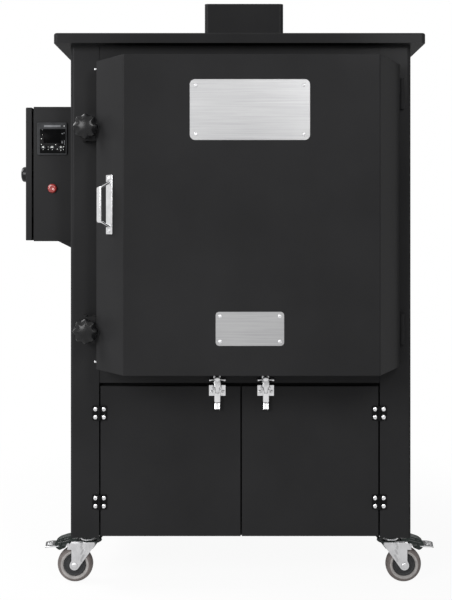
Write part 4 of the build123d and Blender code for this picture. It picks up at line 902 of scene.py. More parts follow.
class KILN_OT_cabinet_hinges(bpy.types.Operator):
    """Makes the four square plastic hinges of the cabinet doors, with their bright screws"""

    bl_idname = "kiln.cabinet_hinges"
    bl_label = "Cabinet hinges"

    def leaf(self, form, screws, side, part, z):
        """One leaf: a thin plate with softened corners, screw bosses and its knuckles."""
        axis = side * HINGE_AXIS_X
        way = part * side
        inner, outer, low, high = axis + way * 4.3, axis + way * HINGE_HALF, z - HINGE_HALF, z + HINGE_HALF
        outline = rounded_polygon([(inner, low), (outer, low), (outer, high), (inner, high)], 2.2)
        extruded(form, outline, (0, FRONT_Y, 0), X, Z, 0.0, 3.0)
        levels = ((-HINGE_HALF, -5.55), (5.55, HINGE_HALF)) if part > 0 else ((-5.25, 5.25),)
        for low, high in levels:
            half = (high - low) / 2
            knuckle = ((0, -half), (3.4, -half), (4, -half + 0.6), (4, half - 0.6), (3.4, half), (0, half))
            turned(form, knuckle, (axis, FRONT_Y - 5.0, z + (low + high) / 2), Z, 28)
            slab(form, (axis, axis + way * 4.9), (FRONT_Y - 4.6, FRONT_Y - 0.8), (z + low, z + high))
        for level in (-1, 1):
            place = np.array((axis + way * 9.6, FRONT_Y - 3.0, z + level * 9.3))
            boss = ((0, 0), (5.3, 0), (5.1, 0.5), (0, 0.5))
            turned(form, boss, place, -Y, 32)
            screw_head(screws, place - 0.4 * Y, -Y, 4.65, 1.9, 0.5 * level + side)

    def execute(self, context):
        fixed, fixed_screws = Form(), Form()
        for word, side in SIDES:
            moving, moving_screws = Form(), Form()
            for z in HINGE_LEVELS:
                self.leaf(fixed, fixed_screws, side, 1, z)
                self.leaf(moving, moving_screws, side, -1, z)
            door = "cabinet_door_" + word
            place_piece("hinge_leaves_" + word, moving, door, ["hinge plastic"],
                        ("cabinet_hinge_leaves_" + word,), 0.5)
            place_piece("hinge_screws_" + word, moving_screws, door, ["zinc"])
        place_piece("hinge_leaves_fixed", fixed, "kiln_body", ["hinge plastic"],
                    ("cabinet_hinge_fixed_leaves",), 0.5)
        place_piece("hinge_screws_fixed", fixed_screws, "kiln_body", ["zinc"])
        return {"FINISHED"}


class KILN_OT_toggle_latches(bpy.types.Operator):
    """Makes the two toggle latches: base, lever, hook with its cross bar, and keeper"""

    bl_idname = "kiln.toggle_latches"
    bl_label = "Toggle latches"

    def base(self, x):
        """A screwed plate with two ears for the lever's pivot."""
        base, screws = Form(), Form()
        middle = x + LATCH_PLATE_SHIFT
        extruded(base, rounded_outline(38.2, 24.6, 0.8), (middle, FRONT_Y, 462.3), X, Z, 0.0, 2.0)
        for side in (-1, 1):
            ear = rounded_polygon([(-352.0, 463.0), (-352.0, 474.2), (-361.6, 474.2), (-361.6, 466.0)],
                                  3.0)
            extruded(base, ear, (x + side * 8.8, 0, 0), Y, Z, -0.8, 0.8)
            rivet = ((0, 0), (2.6, 0), (2.5, 0.8), (1.6, 1.3), (0, 1.4))
            turned(base, rivet, (x + side * 9.6, *LEVER_PIVOT), side * X, 20)
            place = (middle + side * 13.4, FRONT_Y - 2.0, 459.6)
            screw_head(screws, place, -Y, 3.9, 1.7, math.pi / 4 + 0.2 * side)
        return base, screws

    def lever(self, x):
        """A folded channel: its web bends out to a flared tip, its cheeks run up to the pivot."""
        lever = Form()
        front = -363.6
        for side in (-1, 1):
            cheek = [(-354.8, 472.2), (-360.8, 472.2), (front, 464.0), (front, 437.5), (-361.6, 437.5),
                     (-355.4, 456.0)]
            extruded(lever, rounded_polygon(cheek, 2.4), (x + side * 5.6, 0, 0), Y, Z, -0.9, 0.9)
            slab(lever, (x + side * 4.8, x + side * 7.4), (-361.8, -360.4), (457.0, 470.4))
        run = softened_path([(-362.6, 457.4), (-362.6, 437.6), (-361.5, 436.2), (-363.2, 434.6),
                             (-366.4, 421.4)], 0.6, 4)
        wide = 13.6 - 1.6 * np.clip((457.4 - run[:, 1]) / 20.0, 0, 1)
        swept(lever, rounded_outline(1.0, 1.9, 0.45, 4), self.upright(x, run), -Y, widths=wide)
        for centre, reach in ((HOOK_PIVOT, 6.5), (LEVER_PIVOT, 8.4)):
            pin = ((0, -reach), (1.6, -reach), (1.6, reach), (0, reach))
            turned(lever, pin, (x, *centre), X, 20)
        return lever

    def upright(self, x, run):
        """A path of places across Y and Z, set at one X."""
        return np.concatenate((np.full((len(run), 1), x), run), axis=1)

    def hook(self, x):
        """A strap from its eye, wider past the lever, up to a round head that carries a flared bar."""
        hook = Form()
        run = softened_path([(HOOK_PIVOT[0] - 1.6, HOOK_PIVOT[1] - 3.0), (-360.8, 470.6), (-359.6, 479.0),
                             (-358.2, 488.0)], 2.0, 7)
        wider = np.clip((run[:, 1] - 471.0) / 1.2, 0, 1)
        wide = 9.0 + 6.0 * wider - 4.6 * np.clip((run[:, 1] - 483) / 5, 0, 1)
        swept(hook, rounded_outline(1.0, 2.2, 0.45, 4), self.upright(x, run), -Y, widths=wide)
        eye = ((0, -4.4), (2.6, -4.4), (3.0, -4.0), (3.0, 4.0), (2.6, 4.4), (0, 4.4))
        turned(hook, eye, (x, *HOOK_PIVOT), X, 24)
        bulb = ((0, -2.6), (5.8, -2.6), (6.8, -1.6), (7.0, 0.6), (6.9, 2.4), (6.4, 3.6), (5.2, 4.5),
                (3.0, 5.0), (0, 5.2))
        turned(hook, bulb, (x, HOOK_BAR[0], HOOK_BAR[1] + 1.5), -Y, 36)
        bar = ((0, -19.2), (2.6, -19.2), (3.3, -18.7), (3.4, -17.8), (3.0, -15.8), (1.9, -12.6),
               (1.4, -10.0), (1.35, -7.0))
        turned(hook, mirrored(bar), (x, HOOK_BAR[0] - 0.6, HOOK_BAR[1]), X, 28)
        return hook

    def keeper(self, form, x):
        """A plate on the rail with two riveted prongs above the bar and two shelves under it, painted dark
        as shadow.
        """
        shelf_top = HOOK_BAR[1] - 2.6
        right = np.array(((8, RAIL_BOTTOM), (8, 498.6), (2.8, 498.6), (2.6, 491.0)))
        outline = rounded_polygon(np.concatenate((right, right[::-1] * (-1, 1))), 1.0)
        extruded(form, outline, (x, FRONT_Y + 2.0, 0), X, Z, 0.0, 2.0)
        for side in (-1, 1):
            edges = (x + side * 7.0, x + side * 9.6)
            # Painted shadow: the shelves take the darkest zinc.
            slab(form, edges, (FRONT_Y - 6.0, FRONT_Y), (shelf_top - 3.0, shelf_top), 1)
            rivet = ((0, 0), (2.3, 0), (2.2, 0.8), (1.5, 1.5), (0, 1.8))
            turned(form, rivet, (x + side * 5.3, FRONT_Y, 495.9), -Y, 24)

    def execute(self, context):
        keepers = Form()
        for word, side in SIDES:
            x = LATCH_MIDDLE_X + side * LATCH_OFFSET
            self.keeper(keepers, x)
            base, screws = self.base(x)
            door = "cabinet_door_" + word
            place_piece("toggle_base_" + word, base, door, ["zinc"], ("latch_base_" + word,), 0.3)
            place_piece("toggle_base_screws_" + word, screws, door, ["zinc"])
            node = "latch_lever_" + word
            x = x + LEVER_SHIFT
            place_piece("toggle_lever_" + word, self.lever(x), node, ["zinc"], (node,), 0.3)
            node = "latch_hook_" + word
            place_piece("toggle_hook_" + word, self.hook(x), node, ["zinc"], (node,), 0.2)
        place_piece("toggle_keepers", keepers, "kiln_body", ["zinc", "dark zinc and painted shade"],
                    ("latch_keepers",), 0.3)
        return {"FINISHED"}


class KILN_OT_casters(bpy.types.Operator):
    """Makes the casters: pressed forks, wheels with their tyres, brake pedals and mounts"""

    bl_idname = "kiln.casters"
    bl_label = "Casters"

    def wheel(self, form, centre, along):
        """A tyre of nearly round section, its flanks painted paler as a highlight, over a dished core."""
        tyre = mirrored(((26.2, 8.0), (26.8, 12.2), (28.4, 14.2), (30.6, 15.0), (33.0, 14.9), (35.6, 13.9),
                         (37.9, 12.0), (39.8, 9.4), (41.2, 6.2), (41.9, 3.0), (42.0, 0.0)))
        tyre = np.concatenate((tyre, tyre[:1]))
        # Painted highlight: faces whose mean radius is under 32 mm take the paler flank finish.
        flank = (tyre[:-1, 0] + tyre[1:, 0] < 64.0).astype(int) * 2
        ring(form, tyre, centre, along, 96, skin=flank[:, None])
        core = mirrored(((4.2, 15.2), (9.0, 15.6), (10.5, 13.6), (20.5, 11.0), (22.8, 12.6), (24.6, 12.8),
                         (26.0, 11.4), (26.5, 6.0)))
        ring(form, np.concatenate((core, core[:1])), centre, along, 96, skin=1)

    def cheek(self, form, side, direction):
        """A pressed cheek as slices one above the other, each from the outer to the inner edge.

        A slice starts on the eye's arc, on the upright or on the tab, and ends on the eye's arc or on
        the slanted line. Past a crease the plate lies further back, and its top bends in to the crown.
        """
        z = np.concatenate((np.linspace(31.1, 56.0, 26), (68.0, 79.4), np.linspace(79.6, 93.2, 9),
                            np.linspace(94.6, 98.6, 7)))
        eye = np.sqrt(np.clip(11.0**2 - (z - WHEEL_RADIUS) ** 2, 2.0, None))
        outer = np.where(z < 44.0, eye, 10.8 - 4.0 * smooth(np.clip((z - 44.0) / 11.0, 0, 1)))
        tab = ((79.5, 16.6), (82.0, 17.0), (84.4, 14.8), (87.0, 17.0), (89.6, 19.0), (92.0, 16.5),
               (94.6, 10.0), (96.0, 7.4))
        outer = np.where(z > 79.5, np.interp(z, *np.transpose(tab)), outer)
        inner = np.where(z < 35.6, -eye, -8.9 - 0.727 * (z - 35.6))
        across = outer[:, None] + (inner - outer)[:, None] * np.linspace(0, 1, 26)
        deep = 1.9 * smooth(np.clip((-13.2 - across) / 4.4, 0, 1))
        deep = deep - 0.9 * np.exp(-(((across + 26.0) / 3.4) ** 2))
        deep = deep + (4.0 - np.sqrt(4.0**2 - np.clip(z - 94.6, 0, 3.99) ** 2))[:, None]
        across = np.concatenate((across, across[:, ::-1]), axis=1)
        rows = np.empty(across.shape + (3,))
        rows[..., 0] = side * (CASTER_X + WHEEL_TRAIL + across)
        away = np.concatenate((CHEEK_FACE - deep, CHEEK_FACE - CHEEK_SHEET - deep[:, ::-1]), axis=1)
        rows[..., 1] = CASTER_FRONT_Y + direction * away
        rows[..., 2] = z[:, None]
        # Painted shade: the inner faces, which show on the far cheek, and the top inboard corner take the
        # darkest zinc, and a narrow band along the crease takes the half-dark zinc.
        column, level, place = np.arange(52), z[:-1, None], across[:-1]
        crease = (level > 50.0) & (np.abs(place + 15.6) < 2.2) & (column < 25)
        dark = (column > 25) | ((level > 84.0) & (place < -46.0) & (column < 25))
        form.capped(rows, np.where(dark, 1, np.where(crease, 3, 0)))

    def fork(self, form, side):
        """A crown cut straight at its cheeks, a web under it, the two cheeks, their axle and the stop."""
        x, y = side * CASTER_X, CASTER_FRONT_Y
        wheel_x = x + side * WHEEL_TRAIL
        angle = np.linspace(0, 2 * np.pi, 72, endpoint=False)
        rim = np.stack((np.cos(angle), np.clip(np.sin(angle), -0.56, 0.56)), axis=-1)
        crown = [(rim * 31.4, 95.9), (rim * 32.6, 96.8), (rim * 32.6, 98.0), (rim * 31.6, 98.9)]
        # Painted shade: the crown, the web under it and the stop take the darkest zinc.
        stepped(form, crown, (x, y, 0), X, Y, skin=1)
        web = np.array(((9, 72), (34, 103), (34, 108), (30, 108), (22, 98), (6, 74)), float)
        extruded(form, web * (-side, 1), (x, y, 0), X, Z, -17.5, -13.0, 1)
        slab(form, (x, wheel_x), (y - 18.0, y + 18.0), (96.5, 98.8))
        slab(form, (x + side * 24.0, x + side * 40.0), (y - 15.0, y + 15.0), (98.0, 104.4), 1)
        for direction in (-1, 1):
            self.cheek(form, side, direction)
            nut = ((0, 0), (6.8, 0), (7.0, 0.5), (7.0, 2.0), (6.0, 2.9), (3.4, 3.3), (0, 3.4))
            turned(form, nut, (wheel_x, y + direction * 19.8, WHEEL_RADIUS), direction * Y, 40)
        turned(form, AXLE, (wheel_x, y, WHEEL_RADIUS), Y, 24)
        pin = mirrored(((0, -21.4), (2.9, -21.4), (3.3, -20.6), (2.5, -19.6)))
        turned(form, pin, (x + side * PEDAL_AXIS[0], y, PEDAL_AXIS[1]), Y, 24)

    def pedal(self, form, side):
        """A ribbed housing carried across the wheel, with grey lines painted on it as highlights, and a
        flat tongue painted grey as shade, its rim painted lighter as a lit edge.
        """
        x, y, z = side * (CASTER_X + PEDAL_AXIS[0]), CASTER_FRONT_Y, PEDAL_AXIS[1]
        housing = np.array(((-6, 18.4), (5, 16.6), (14, 13.8), (21, 11.4), (27.0, 7.6), (30.5, 4.0),
                            (32.0, -1), (30.5, -7), (26, -12.4), (20.5, -14.6), (14.5, -11.6),
                            (7.4, -9.2), (6.0, -1), (-3.6, 3.8), (-7.0, 11.6)))
        block = rounded_polygon(housing, 3.0, 4) * (side, 1)
        extruded(form, block, (x, y, z), X, Z, -13.0, 13.0)
        rib = rounded_polygon(housing * 1.04 + (-0.2, 0.0), 3.0, 4) * (side, 1)
        for offset in (-12.9, -4.3, 4.3, 12.9):
            extruded(form, rib, (x, y + offset, z), X, Z, -1.0, 1.0)
        # Painted highlight: grey lines on the dark housing.
        for line in (((-4.0, 9.0), (26.0, 2.0)), ((0.0, 14.0), (20.0, 7.5)), ((6.0, -3.0), (28.0, -3.4))):
            line = np.array([(x + side * u, y - 13.9, z + level) for u, level in line])
            swept(form, rounded_outline(1.4, 1.3, 0.5, 3), line, -Y, skin=2)
        boss = ((0, 0), (3.4, 0), (3.4, 0.8), (2.4, 1.8), (0, 2.0))
        for level, far in ((9.5, 15.0), (-1.0, 19.5), (-8.5, 16.0)):
            turned(form, boss, (x + side * far, y - 13.9, z + level), -Y, 24)
        lean = np.array((0.0, -0.24, 0.97))
        run = softened_path([(24, -3.0), (40, -3.3), (52, -4.2), (56.4, -6.0)], 3.0, 6)
        path = np.stack((x + side * run[:, 0], np.full(len(run), y), z + run[:, 1]), axis=-1)
        narrow = np.clip((run[:, 0] - 46.0) / 10.0, 0, 1)
        # Painted shade and light: the zinc tongue's top is painted grey, and its rim lighter as a lit
        # edge.
        tongue = rounded_outline(1.0, 2.2, 0.45, 4)
        swept(form, tongue, path, lean, skin=2, widths=26.0 - 4.0 * narrow)
        edge = path + (0.0, -13.0, -3.2) + 2.0 * narrow[:, None] * Y
        swept(form, rounded_outline(3.0, 3.0, 1.3, 4), edge, lean, skin=3)
        for offset in (-7.0, -1.0, 5.0):
            rib = path[3:-3] + (0.0, offset, 0.24 * offset + 1.2)
            swept(form, rounded_outline(1.4, 1.0, 0.4, 3), rib, lean, skin=1)

    def plates(self, form):
        """Mounting plates; ring races in front, and rigid forks with sloping edges behind."""
        for side in (-1, 1):
            x = side * CASTER_X
            for y in (CASTER_FRONT_Y, CASTER_REAR_Y):
                sizes = ((60.0, 90.0, 6.0, 0.0), (60.0, 90.0, 6.0, 3.2), (59.4, 89.1, 5.94, 4.0))
                plate(form, sizes, (x, y, MOUNT_TOP), X, Y, steps=5)
            # Painted light on each front race: its upper part and its groove take the darkest zinc as
            # painted shade, and the ring between them takes the bright zinc as a painted highlight.
            shadowed = ((0, 105.0), (14.0, 105.0), (18.0, 106.0), (21.0, 108.0), (22.0, 112.0),
                        (23.0, MOUNT_TOP), (0, MOUNT_TOP))
            groove = ((0, 99.2), (21.6, 99.2), (21.6, 99.9), (19.0, 100.4), (0, 100.4))
            bright = ((0, 100.2), (18.4, 100.2), (19.2, 101.2), (18.4, 103.4), (16.0, 105.2), (0, 105.2))
            for race, skin in ((shadowed, 1), (groove, 1), (bright, 2)):
                turned(form, race, (x, CASTER_FRONT_Y, 0), Z, 64, skin=skin)
            for start, end, radius in ((90.0, 100.5, 5.0), (92.5, 96.0, 8.0)):
                king = ((0, start), (radius - 0.5, start), (radius, start + 0.5), (radius, end), (0, end))
                turned(form, king, (x, CASTER_FRONT_Y, 0), Z, 32)
            leg = [(-26.0, 116.4), (-12.0, 37.0), (-7.5, 31.9), (7.5, 31.9), (12.0, 37.0), (26.0, 116.4)]
            outline = rounded_polygon(leg, 4.0, 7)
            for direction in (-1, 1):
                seat = x + direction * 18.75
                extruded(form, outline, (seat, CASTER_REAR_Y, 0), Y, Z, -1.25, 1.25)
                nut = ((0, 0), (8.0, 0), (8.0, 0.7), (6.6, 1.0), (6.4, 2.4), (5.2, 3.2), (0, 3.4))
                turned(form, nut, (x + direction * 19.8, CASTER_REAR_Y, WHEEL_RADIUS), direction * X, 36)
            turned(form, AXLE, (x, CASTER_REAR_Y, WHEEL_RADIUS), X, 24)

    def execute(self, context):
        # The fork's own zinc, then the darkest zinc for painted shade, the bright zinc for painted
        # highlights and the half-dark zinc for painted crease shade.
        zinc_with_painted_light = ["fork zinc", "dark zinc and painted shade", "zinc", "half zinc for painted light"]
        rubbers = ["tyre", "core", "flank"]
        for word, side in SIDES:
            fork, pedal, front, rear = Form(), Form(), Form(), Form()
            self.fork(fork, side)
            node = "caster_fork_" + word
            place_piece("swivel_fork_" + word, fork, node, zinc_with_painted_light, (node,), 0.4)
            self.pedal(pedal, side)
            node = "brake_pedal_" + word
            place_piece("brake_rocker_" + word, pedal, node,
                        ["dark zinc and painted shade", "zinc", "grey zinc for painted light", "half zinc for painted light"],
                        (node,), 0.5)
            wheel_x = side * (CASTER_X + WHEEL_TRAIL)
            self.wheel(front, (wheel_x, CASTER_FRONT_Y, WHEEL_RADIUS), Y)
            node = "caster_wheel_front_" + word
            place_piece("front_wheel_" + word, front, node, rubbers, (node,))
            self.wheel(rear, (side * CASTER_X, CASTER_REAR_Y, WHEEL_RADIUS), X)
            node = "caster_wheel_rear_" + word
            place_piece("rear_wheel_" + word, rear, node, rubbers, (node,))
        plates = Form()
        self.plates(plates)
        place_piece("caster_mounts", plates, "kiln_body", zinc_with_painted_light, ("caster_plates",), 0.3)
        return {"FINISHED"}


class KILN_OT_instrument(bpy.types.Operator):
    """Makes the temperature controller, its three keys and the pilot lamp"""

    bl_idname = "kiln.instrument"
    bl_label = "Instrument and lamp"

    def case(self):
        """A body behind the panel and a rounded bezel whose face is sunk inside its rim."""
        case = Form()
        sizes = ((63.3, 69.7, 2.0, -80.0), (63.3, 69.7, 2.0, 0.0), (71.3, 77.7, 3.0, 0.0),
                 (71.3, 77.7, 3.0, 4.8), (70.5, 76.9, 2.6, 5.7), (69.1, 75.5, 2.2, 6.0),
                 (65.3, 71.7, 1.6, 6.0), (64.3, 70.7, 1.4, 5.2))
        plate(case, sizes, (CONTROLS_X, PANEL_Y, CONTROLLER_Z))
        window = ((62.4, 58.4, 1.6, 5.1), (62.4, 58.4, 1.6, 5.6), (61.6, 57.6, 1.4, 5.9))
        plate(case, window, (CONTROLS_X + 1.6, PANEL_Y, CONTROLLER_Z - 5.8), skin=1)
        display = ((41.0, 32.0, 1.2, 5.8), (40.4, 31.4, 1.0, 6.0))
        plate(case, display, (CONTROLS_X - 0.4, PANEL_Y, CONTROLLER_Z + 5.4), skin=2)
        return case

    def marks(self):
        """Round indicators beside and under the display, short pale bars to its right painted as glints of
        light, and a bare label strip.
        """
        marks = Form()
        spots = ((-25.6, 0.0, 1.3), (-25.6, -13.9, 1.2), (8.2, -14.2, 1.4), (27.2, -19.4, 1.7),
                 (-21.3, -26.4, 0.9), (-9.0, -25.6, 0.9), (-9.0, -20.0, 0.7), (0.8, -26.6, 0.9),
                 (12.5, -25.2, 1.3), (21.0, -27.6, 1.4), (27.0, -26.2, 1.1), (-23.4, 9.6, 0.7),
                 (-23.2, 21.4, 0.6), (29.0, 30.2, 1.3))
        for x, z, radius in spots:
            lens = ((0, 0), (radius, 0), (radius * 0.8, 0.25), (0, 0.4))
            turned(marks, lens, (CONTROLS_X + x, PANEL_Y - 5.7, CONTROLLER_Z + z), -Y, 16)
        # The first bar is the label strip; the other four are painted glints of light.
        bars = ((0.6, 30.2, 40.0, 5.0), (29.4, -9.4, 1.6, 12.0), (24.6, 12.0, 4.4, 3.0),
                (24.0, -8.4, 2.8, 6.4), (28.8, 13.6, 1.8, 4.0))
        for x, z, width, height in bars:
            strip = ((width, height, 0.6, 5.7), (width - 0.3, height - 0.3, 0.5, 6.1))
            plate(marks, strip, (CONTROLS_X + x, PANEL_Y, CONTROLLER_Z + z), skin=1, steps=4)
        return marks

    def execute(self, context):
        place_piece("controller_case", self.case(), "kiln_body",
                    ["case", "window", "display"], ("temperature_controller",))
        place_piece("controller_marks", self.marks(), "kiln_body",
                    ["indicator", "label and painted glints"])
        for i, word in enumerate(("left", "middle", "right")):
            key, node = Form(), "controller_key_" + word
            centre = np.array((CONTROLS_X + (i - 1) * KEY_PITCH, PANEL_Y, KEY_Z))
            sizes = ((11.0, 6.0, 1.6, 3.0), (11.0, 6.0, 1.6, 6.6), (10.2, 5.2, 1.3, 7.15),
                     (8.6, 3.8, 1.0, 7.2), (7.6, 3.0, 0.8, 6.95))
            plate(key, sizes, centre)
            width = 6.8 if word == "middle" else 5.0
            plate(key, ((width, 3.4, 1.5, 6.6), (width, 3.4, 1.5, 7.1)), centre + 1.6 * Z, skin=1)
            place_piece("push_key_" + word, key, node,
                        ["case", "indicator"], (node,))
        lamp = Form()
        low, high = cad_span("pilot_lamp")
        centre = ((low[0] + high[0]) / 2, PANEL_Y, (low[2] + high[2]) / 2)
        shank = ((0, 30), (7.6, 30), (8.0, 29.4), (8.0, 6.2), (11.6, 6.0), (12.0, 5.4), (12.0, 2.2),
                 (8.0, 2.0), (8.0, 0.2), (11.7, 0.2), (12.0, -0.4), (12.0, -1.6), (11.4, -2.2), (0, -2.2))
        turned(lamp, shank, centre, Y, 48, skin=1)
        facets = context.scene.kiln_fitting.lamp_facets
        count = facets * 4
        ridge = 1 - 0.05 * np.abs(((np.arange(count) / 4) % 1.0) * 2 - 1)
        dome = ((0, 2.0), (11.2, 2.0), (11.3, 3.6), (11.0, 5.6), (10.2, 7.3), (8.8, 8.4), (7.2, 8.9),
                (6.0, 8.9), (5.2, 8.2), (3.6, 7.7), (0, 7.5))
        ribbed = np.array((0, 1, 1, 1, 1, 1, 1, 0.3, 0, 0, 0))[:, None]
        turned(lamp, dome, centre, -Y, count, 1 + ribbed * (ridge - 1))
        place_piece("pilot_lens", lamp, "kiln_body", ["lens", "plastic"],
                    ("pilot_lamp",))
        return {"FINISHED"}


class KILN_OT_lid_lock(bpy.types.Operator):
    """Makes the round lock in the enclosure's lid, with its shank and cam"""

    bl_idname = "kiln.lid_lock"
    bl_label = "Lid lock"

    def execute(self, context):
        lock = Form()
        low, high = cad_span("enclosure_lock")
        face, edge, _ = cad_span("enclosure_lid")[0]
        y, z = edge + LOCK_INSET, low[2] + LOCK_RADIUS
        knob = ((0, 0.2), (18.0, 0.2), (LOCK_RADIUS, 0.8), (LOCK_RADIUS, 8.4), (18.2, 10.4),
                (17.4, 12.2), (16.0, 13.7), (13.6, 15.0), (10.0, 16.0), (6.0, 16.5), (0, 16.6))
        turned(lock, knob, (face, y, z), -X, 72)
        behind = high[0] - face
        shank = ((0, 0.6), (7.9, 0.6), (7.9, 1.0 - behind), (0, 1.0 - behind))
        turned(lock, shank, (face, y, z), -X, 40)
        cam = rounded_polygon([(-6, -6), (6, -6), (6, 22), (-6, 22)], 4.0)
        extruded(lock, cam, (face, y, z), -Y, Z, -behind, 3.0 - behind)
        place_piece("lid_lock", lock, "enclosure_lock", ["plastic"],
                    ("enclosure_lock",))
        return {"FINISHED"}


class KILN_OT_lining(bpy.types.Operator):
    """Makes the door's fibre plug and rope seal, and the coils of the heating elements"""

    bl_idname = "kiln.lining"
    bl_label = "Door lining, seal and elements"

    def rope(self):
        """A round-cornered loop of flattened rope: its radius waves along it and round it."""
        low, high = cad_span("door_seal")
        middle, size = (low + high) / 2, high - low
        line = rounded_outline(size[0] - 14.0, size[2] - 14.0, 15.0, 24)
        step = np.linalg.norm(np.roll(line, -1, axis=0) - line, axis=1)
        length = np.concatenate(((0.0,), np.cumsum(step)))
        closed = np.concatenate((line, line[:1]))
        count = int(length[-1] / 2.6)
        at = np.linspace(0, length[-1], count, endpoint=False)
        spots = np.stack([np.interp(at, length, closed[:, i]) for i in (0, 1)], axis=-1)
        run = unit(np.roll(spots, -1, axis=0) - np.roll(spots, 1, axis=0))
        out = np.stack((run[:, 1], -run[:, 0]), axis=-1)
        s, a = np.meshgrid(at, np.linspace(0, 2 * np.pi, 20, endpoint=False), indexing="ij")
        twist = 2 * np.pi * round(length[-1] / 11.0) * s / length[-1]
        braid = 1 - 0.045 * (1 + np.cos(3 * a - twist)) - 0.02 * (1 + np.cos(3 * a + twist))
        across = 6.9 * np.cos(a) * braid
        deep = size[1] / 2 * np.sin(a) * braid
        points = np.empty((count, 20, 3))
        points[..., 0] = middle[0] + spots[:, :1] + out[:, :1] * across
        points[..., 1] = middle[1] + deep
        points[..., 2] = middle[2] + spots[:, 1:] + out[:, 1:] * across
        rope = Form()
        rope.grid(np.concatenate((points, points[:1])))
        return rope

    def board(self):
        """The fibre behind the shell, and the plug: rounded rectangles that taper to its face.

        Low waves of two sines move each outline, as hand-packed fibre is never quite straight.
        """
        board = Form()
        sizes = ((CHAMBER_WIDTH - 16.0, 464.0, -0.5), (383.0, 463.0, 3.0), (381.4, 461.4, 20.0),
                 (379.4, 459.4, 44.0), (377.4, 457.4, 47.4), (371.0, 451.0, 49.0), (300.0, 380.0, 49.6),
                 (120.0, 200.0, 49.8))
        rows = []
        for width, height, depth in sizes:
            outline = rounded_outline(width, height, 6.0, 40)
            a = np.arctan2(outline[:, 1], outline[:, 0])
            wave = 0.5 * np.sin(11 * a + depth) + 0.35 * np.sin(23 * a - 0.4 * depth) - 0.85
            rows.append((outline * (1 + wave[:, None] / 220.0), depth))
        plug_base = cad_span("door_insulation")[1][1] - sizes[-1][2]
        stepped(board, rows, (CHAMBER_X, plug_base, (CHAMBER_BOTTOM + CHAMBER_TOP) / 2), -X, Z)
        rear = ((683.0, 686.0, 3.0, 0.0), (683.0, 686.0, 3.0, 1.8), (678.0, 681.0, 3.0, 2.2))
        plate(board, rear, (22.5, FRONT_Y - 5.2, (DOOR_BOTTOM + DOOR_TOP) / 2), steps=4)
        filling = ((-320.6, FRONT_Y - 7.3), (-320.6, FRONT_Y - 65.5), (-251.0, -515.6), (301.8, -515.6),
                   (365.6, FRONT_Y - 21.0), (365.6, FRONT_Y - 7.3))
        extruded(board, np.array(filling), (0, 0, DOOR_BOTTOM + 2.4), X, Y, 0.0, 689.2)
        return board

    def coils(self, pitch):
        """Each hairpin is a rod along a U whose radius waves with distance less angle, as wound wire."""
        coils = Form()
        low, high = cad_span("heating_elements")
        reach = CHAMBER_WIDTH / 2 - 15.0
        front = low[1] + ELEMENT_BEND + 5.0
        straight = np.linspace(ELEMENT_END_Y, front, 190)[:, None] * (1, 0)
        for side, i in itertools.product((-1, 1), range(ELEMENTS)):
            x = CHAMBER_X + side * reach
            z = CHAMBER_BOTTOM + ELEMENT_RISE + i * ELEMENT_PITCH
            bend = arc((front, z), ELEMENT_BEND, 270.0, 90.0, 22)
            legs = straight + (0, z - ELEMENT_BEND), straight[::-1] + (0, z + ELEMENT_BEND)
            line = np.concatenate((legs[0], bend[1:-1], legs[1]))
            step = np.linalg.norm(np.diff(line, axis=0), axis=1)
            distance = np.concatenate(((0.0,), np.cumsum(step)))
            run = unit(np.gradient(line, axis=0))
            out = np.stack((-run[:, 1], run[:, 0]), axis=-1)
            s, a = np.meshgrid(distance, np.linspace(0, 2 * np.pi, 10, endpoint=False), indexing="ij")
            r = 4.2 + 0.8 * np.cos(2 * np.pi * s / pitch - a)
            points = np.empty(s.shape + (3,))
            points[..., 0] = x + r * np.sin(a)
            points[..., 1] = line[:, :1] + out[:, :1] * r * np.cos(a)
            points[..., 2] = line[:, 1:] + out[:, 1:] * r * np.cos(a)
            coils.capped(points)
            for leg in (-ELEMENT_BEND, ELEMENT_BEND):
                tail = ((0, 120.0), (3.0, 120.0), (3.0, high[1] - 1.0), (2.2, high[1]), (0, high[1]))
                turned(coils, tail, (x, 0, z + leg), Y, 12)
        return coils

    def execute(self, context):
        place_piece("seal_rope", self.rope(), "kiln_door", ["rope"], ("door_seal",))
        place_piece("fibre_plug", self.board(), "kiln_door", ["fibre"],
                    ("door_insulation",), 0.8)
        coils = self.coils(context.scene.kiln_fitting.coil_pitch)
        place_piece("wound_elements", coils, "kiln_body", ["wire"], ("heating_elements",))
        return {"FINISHED"}


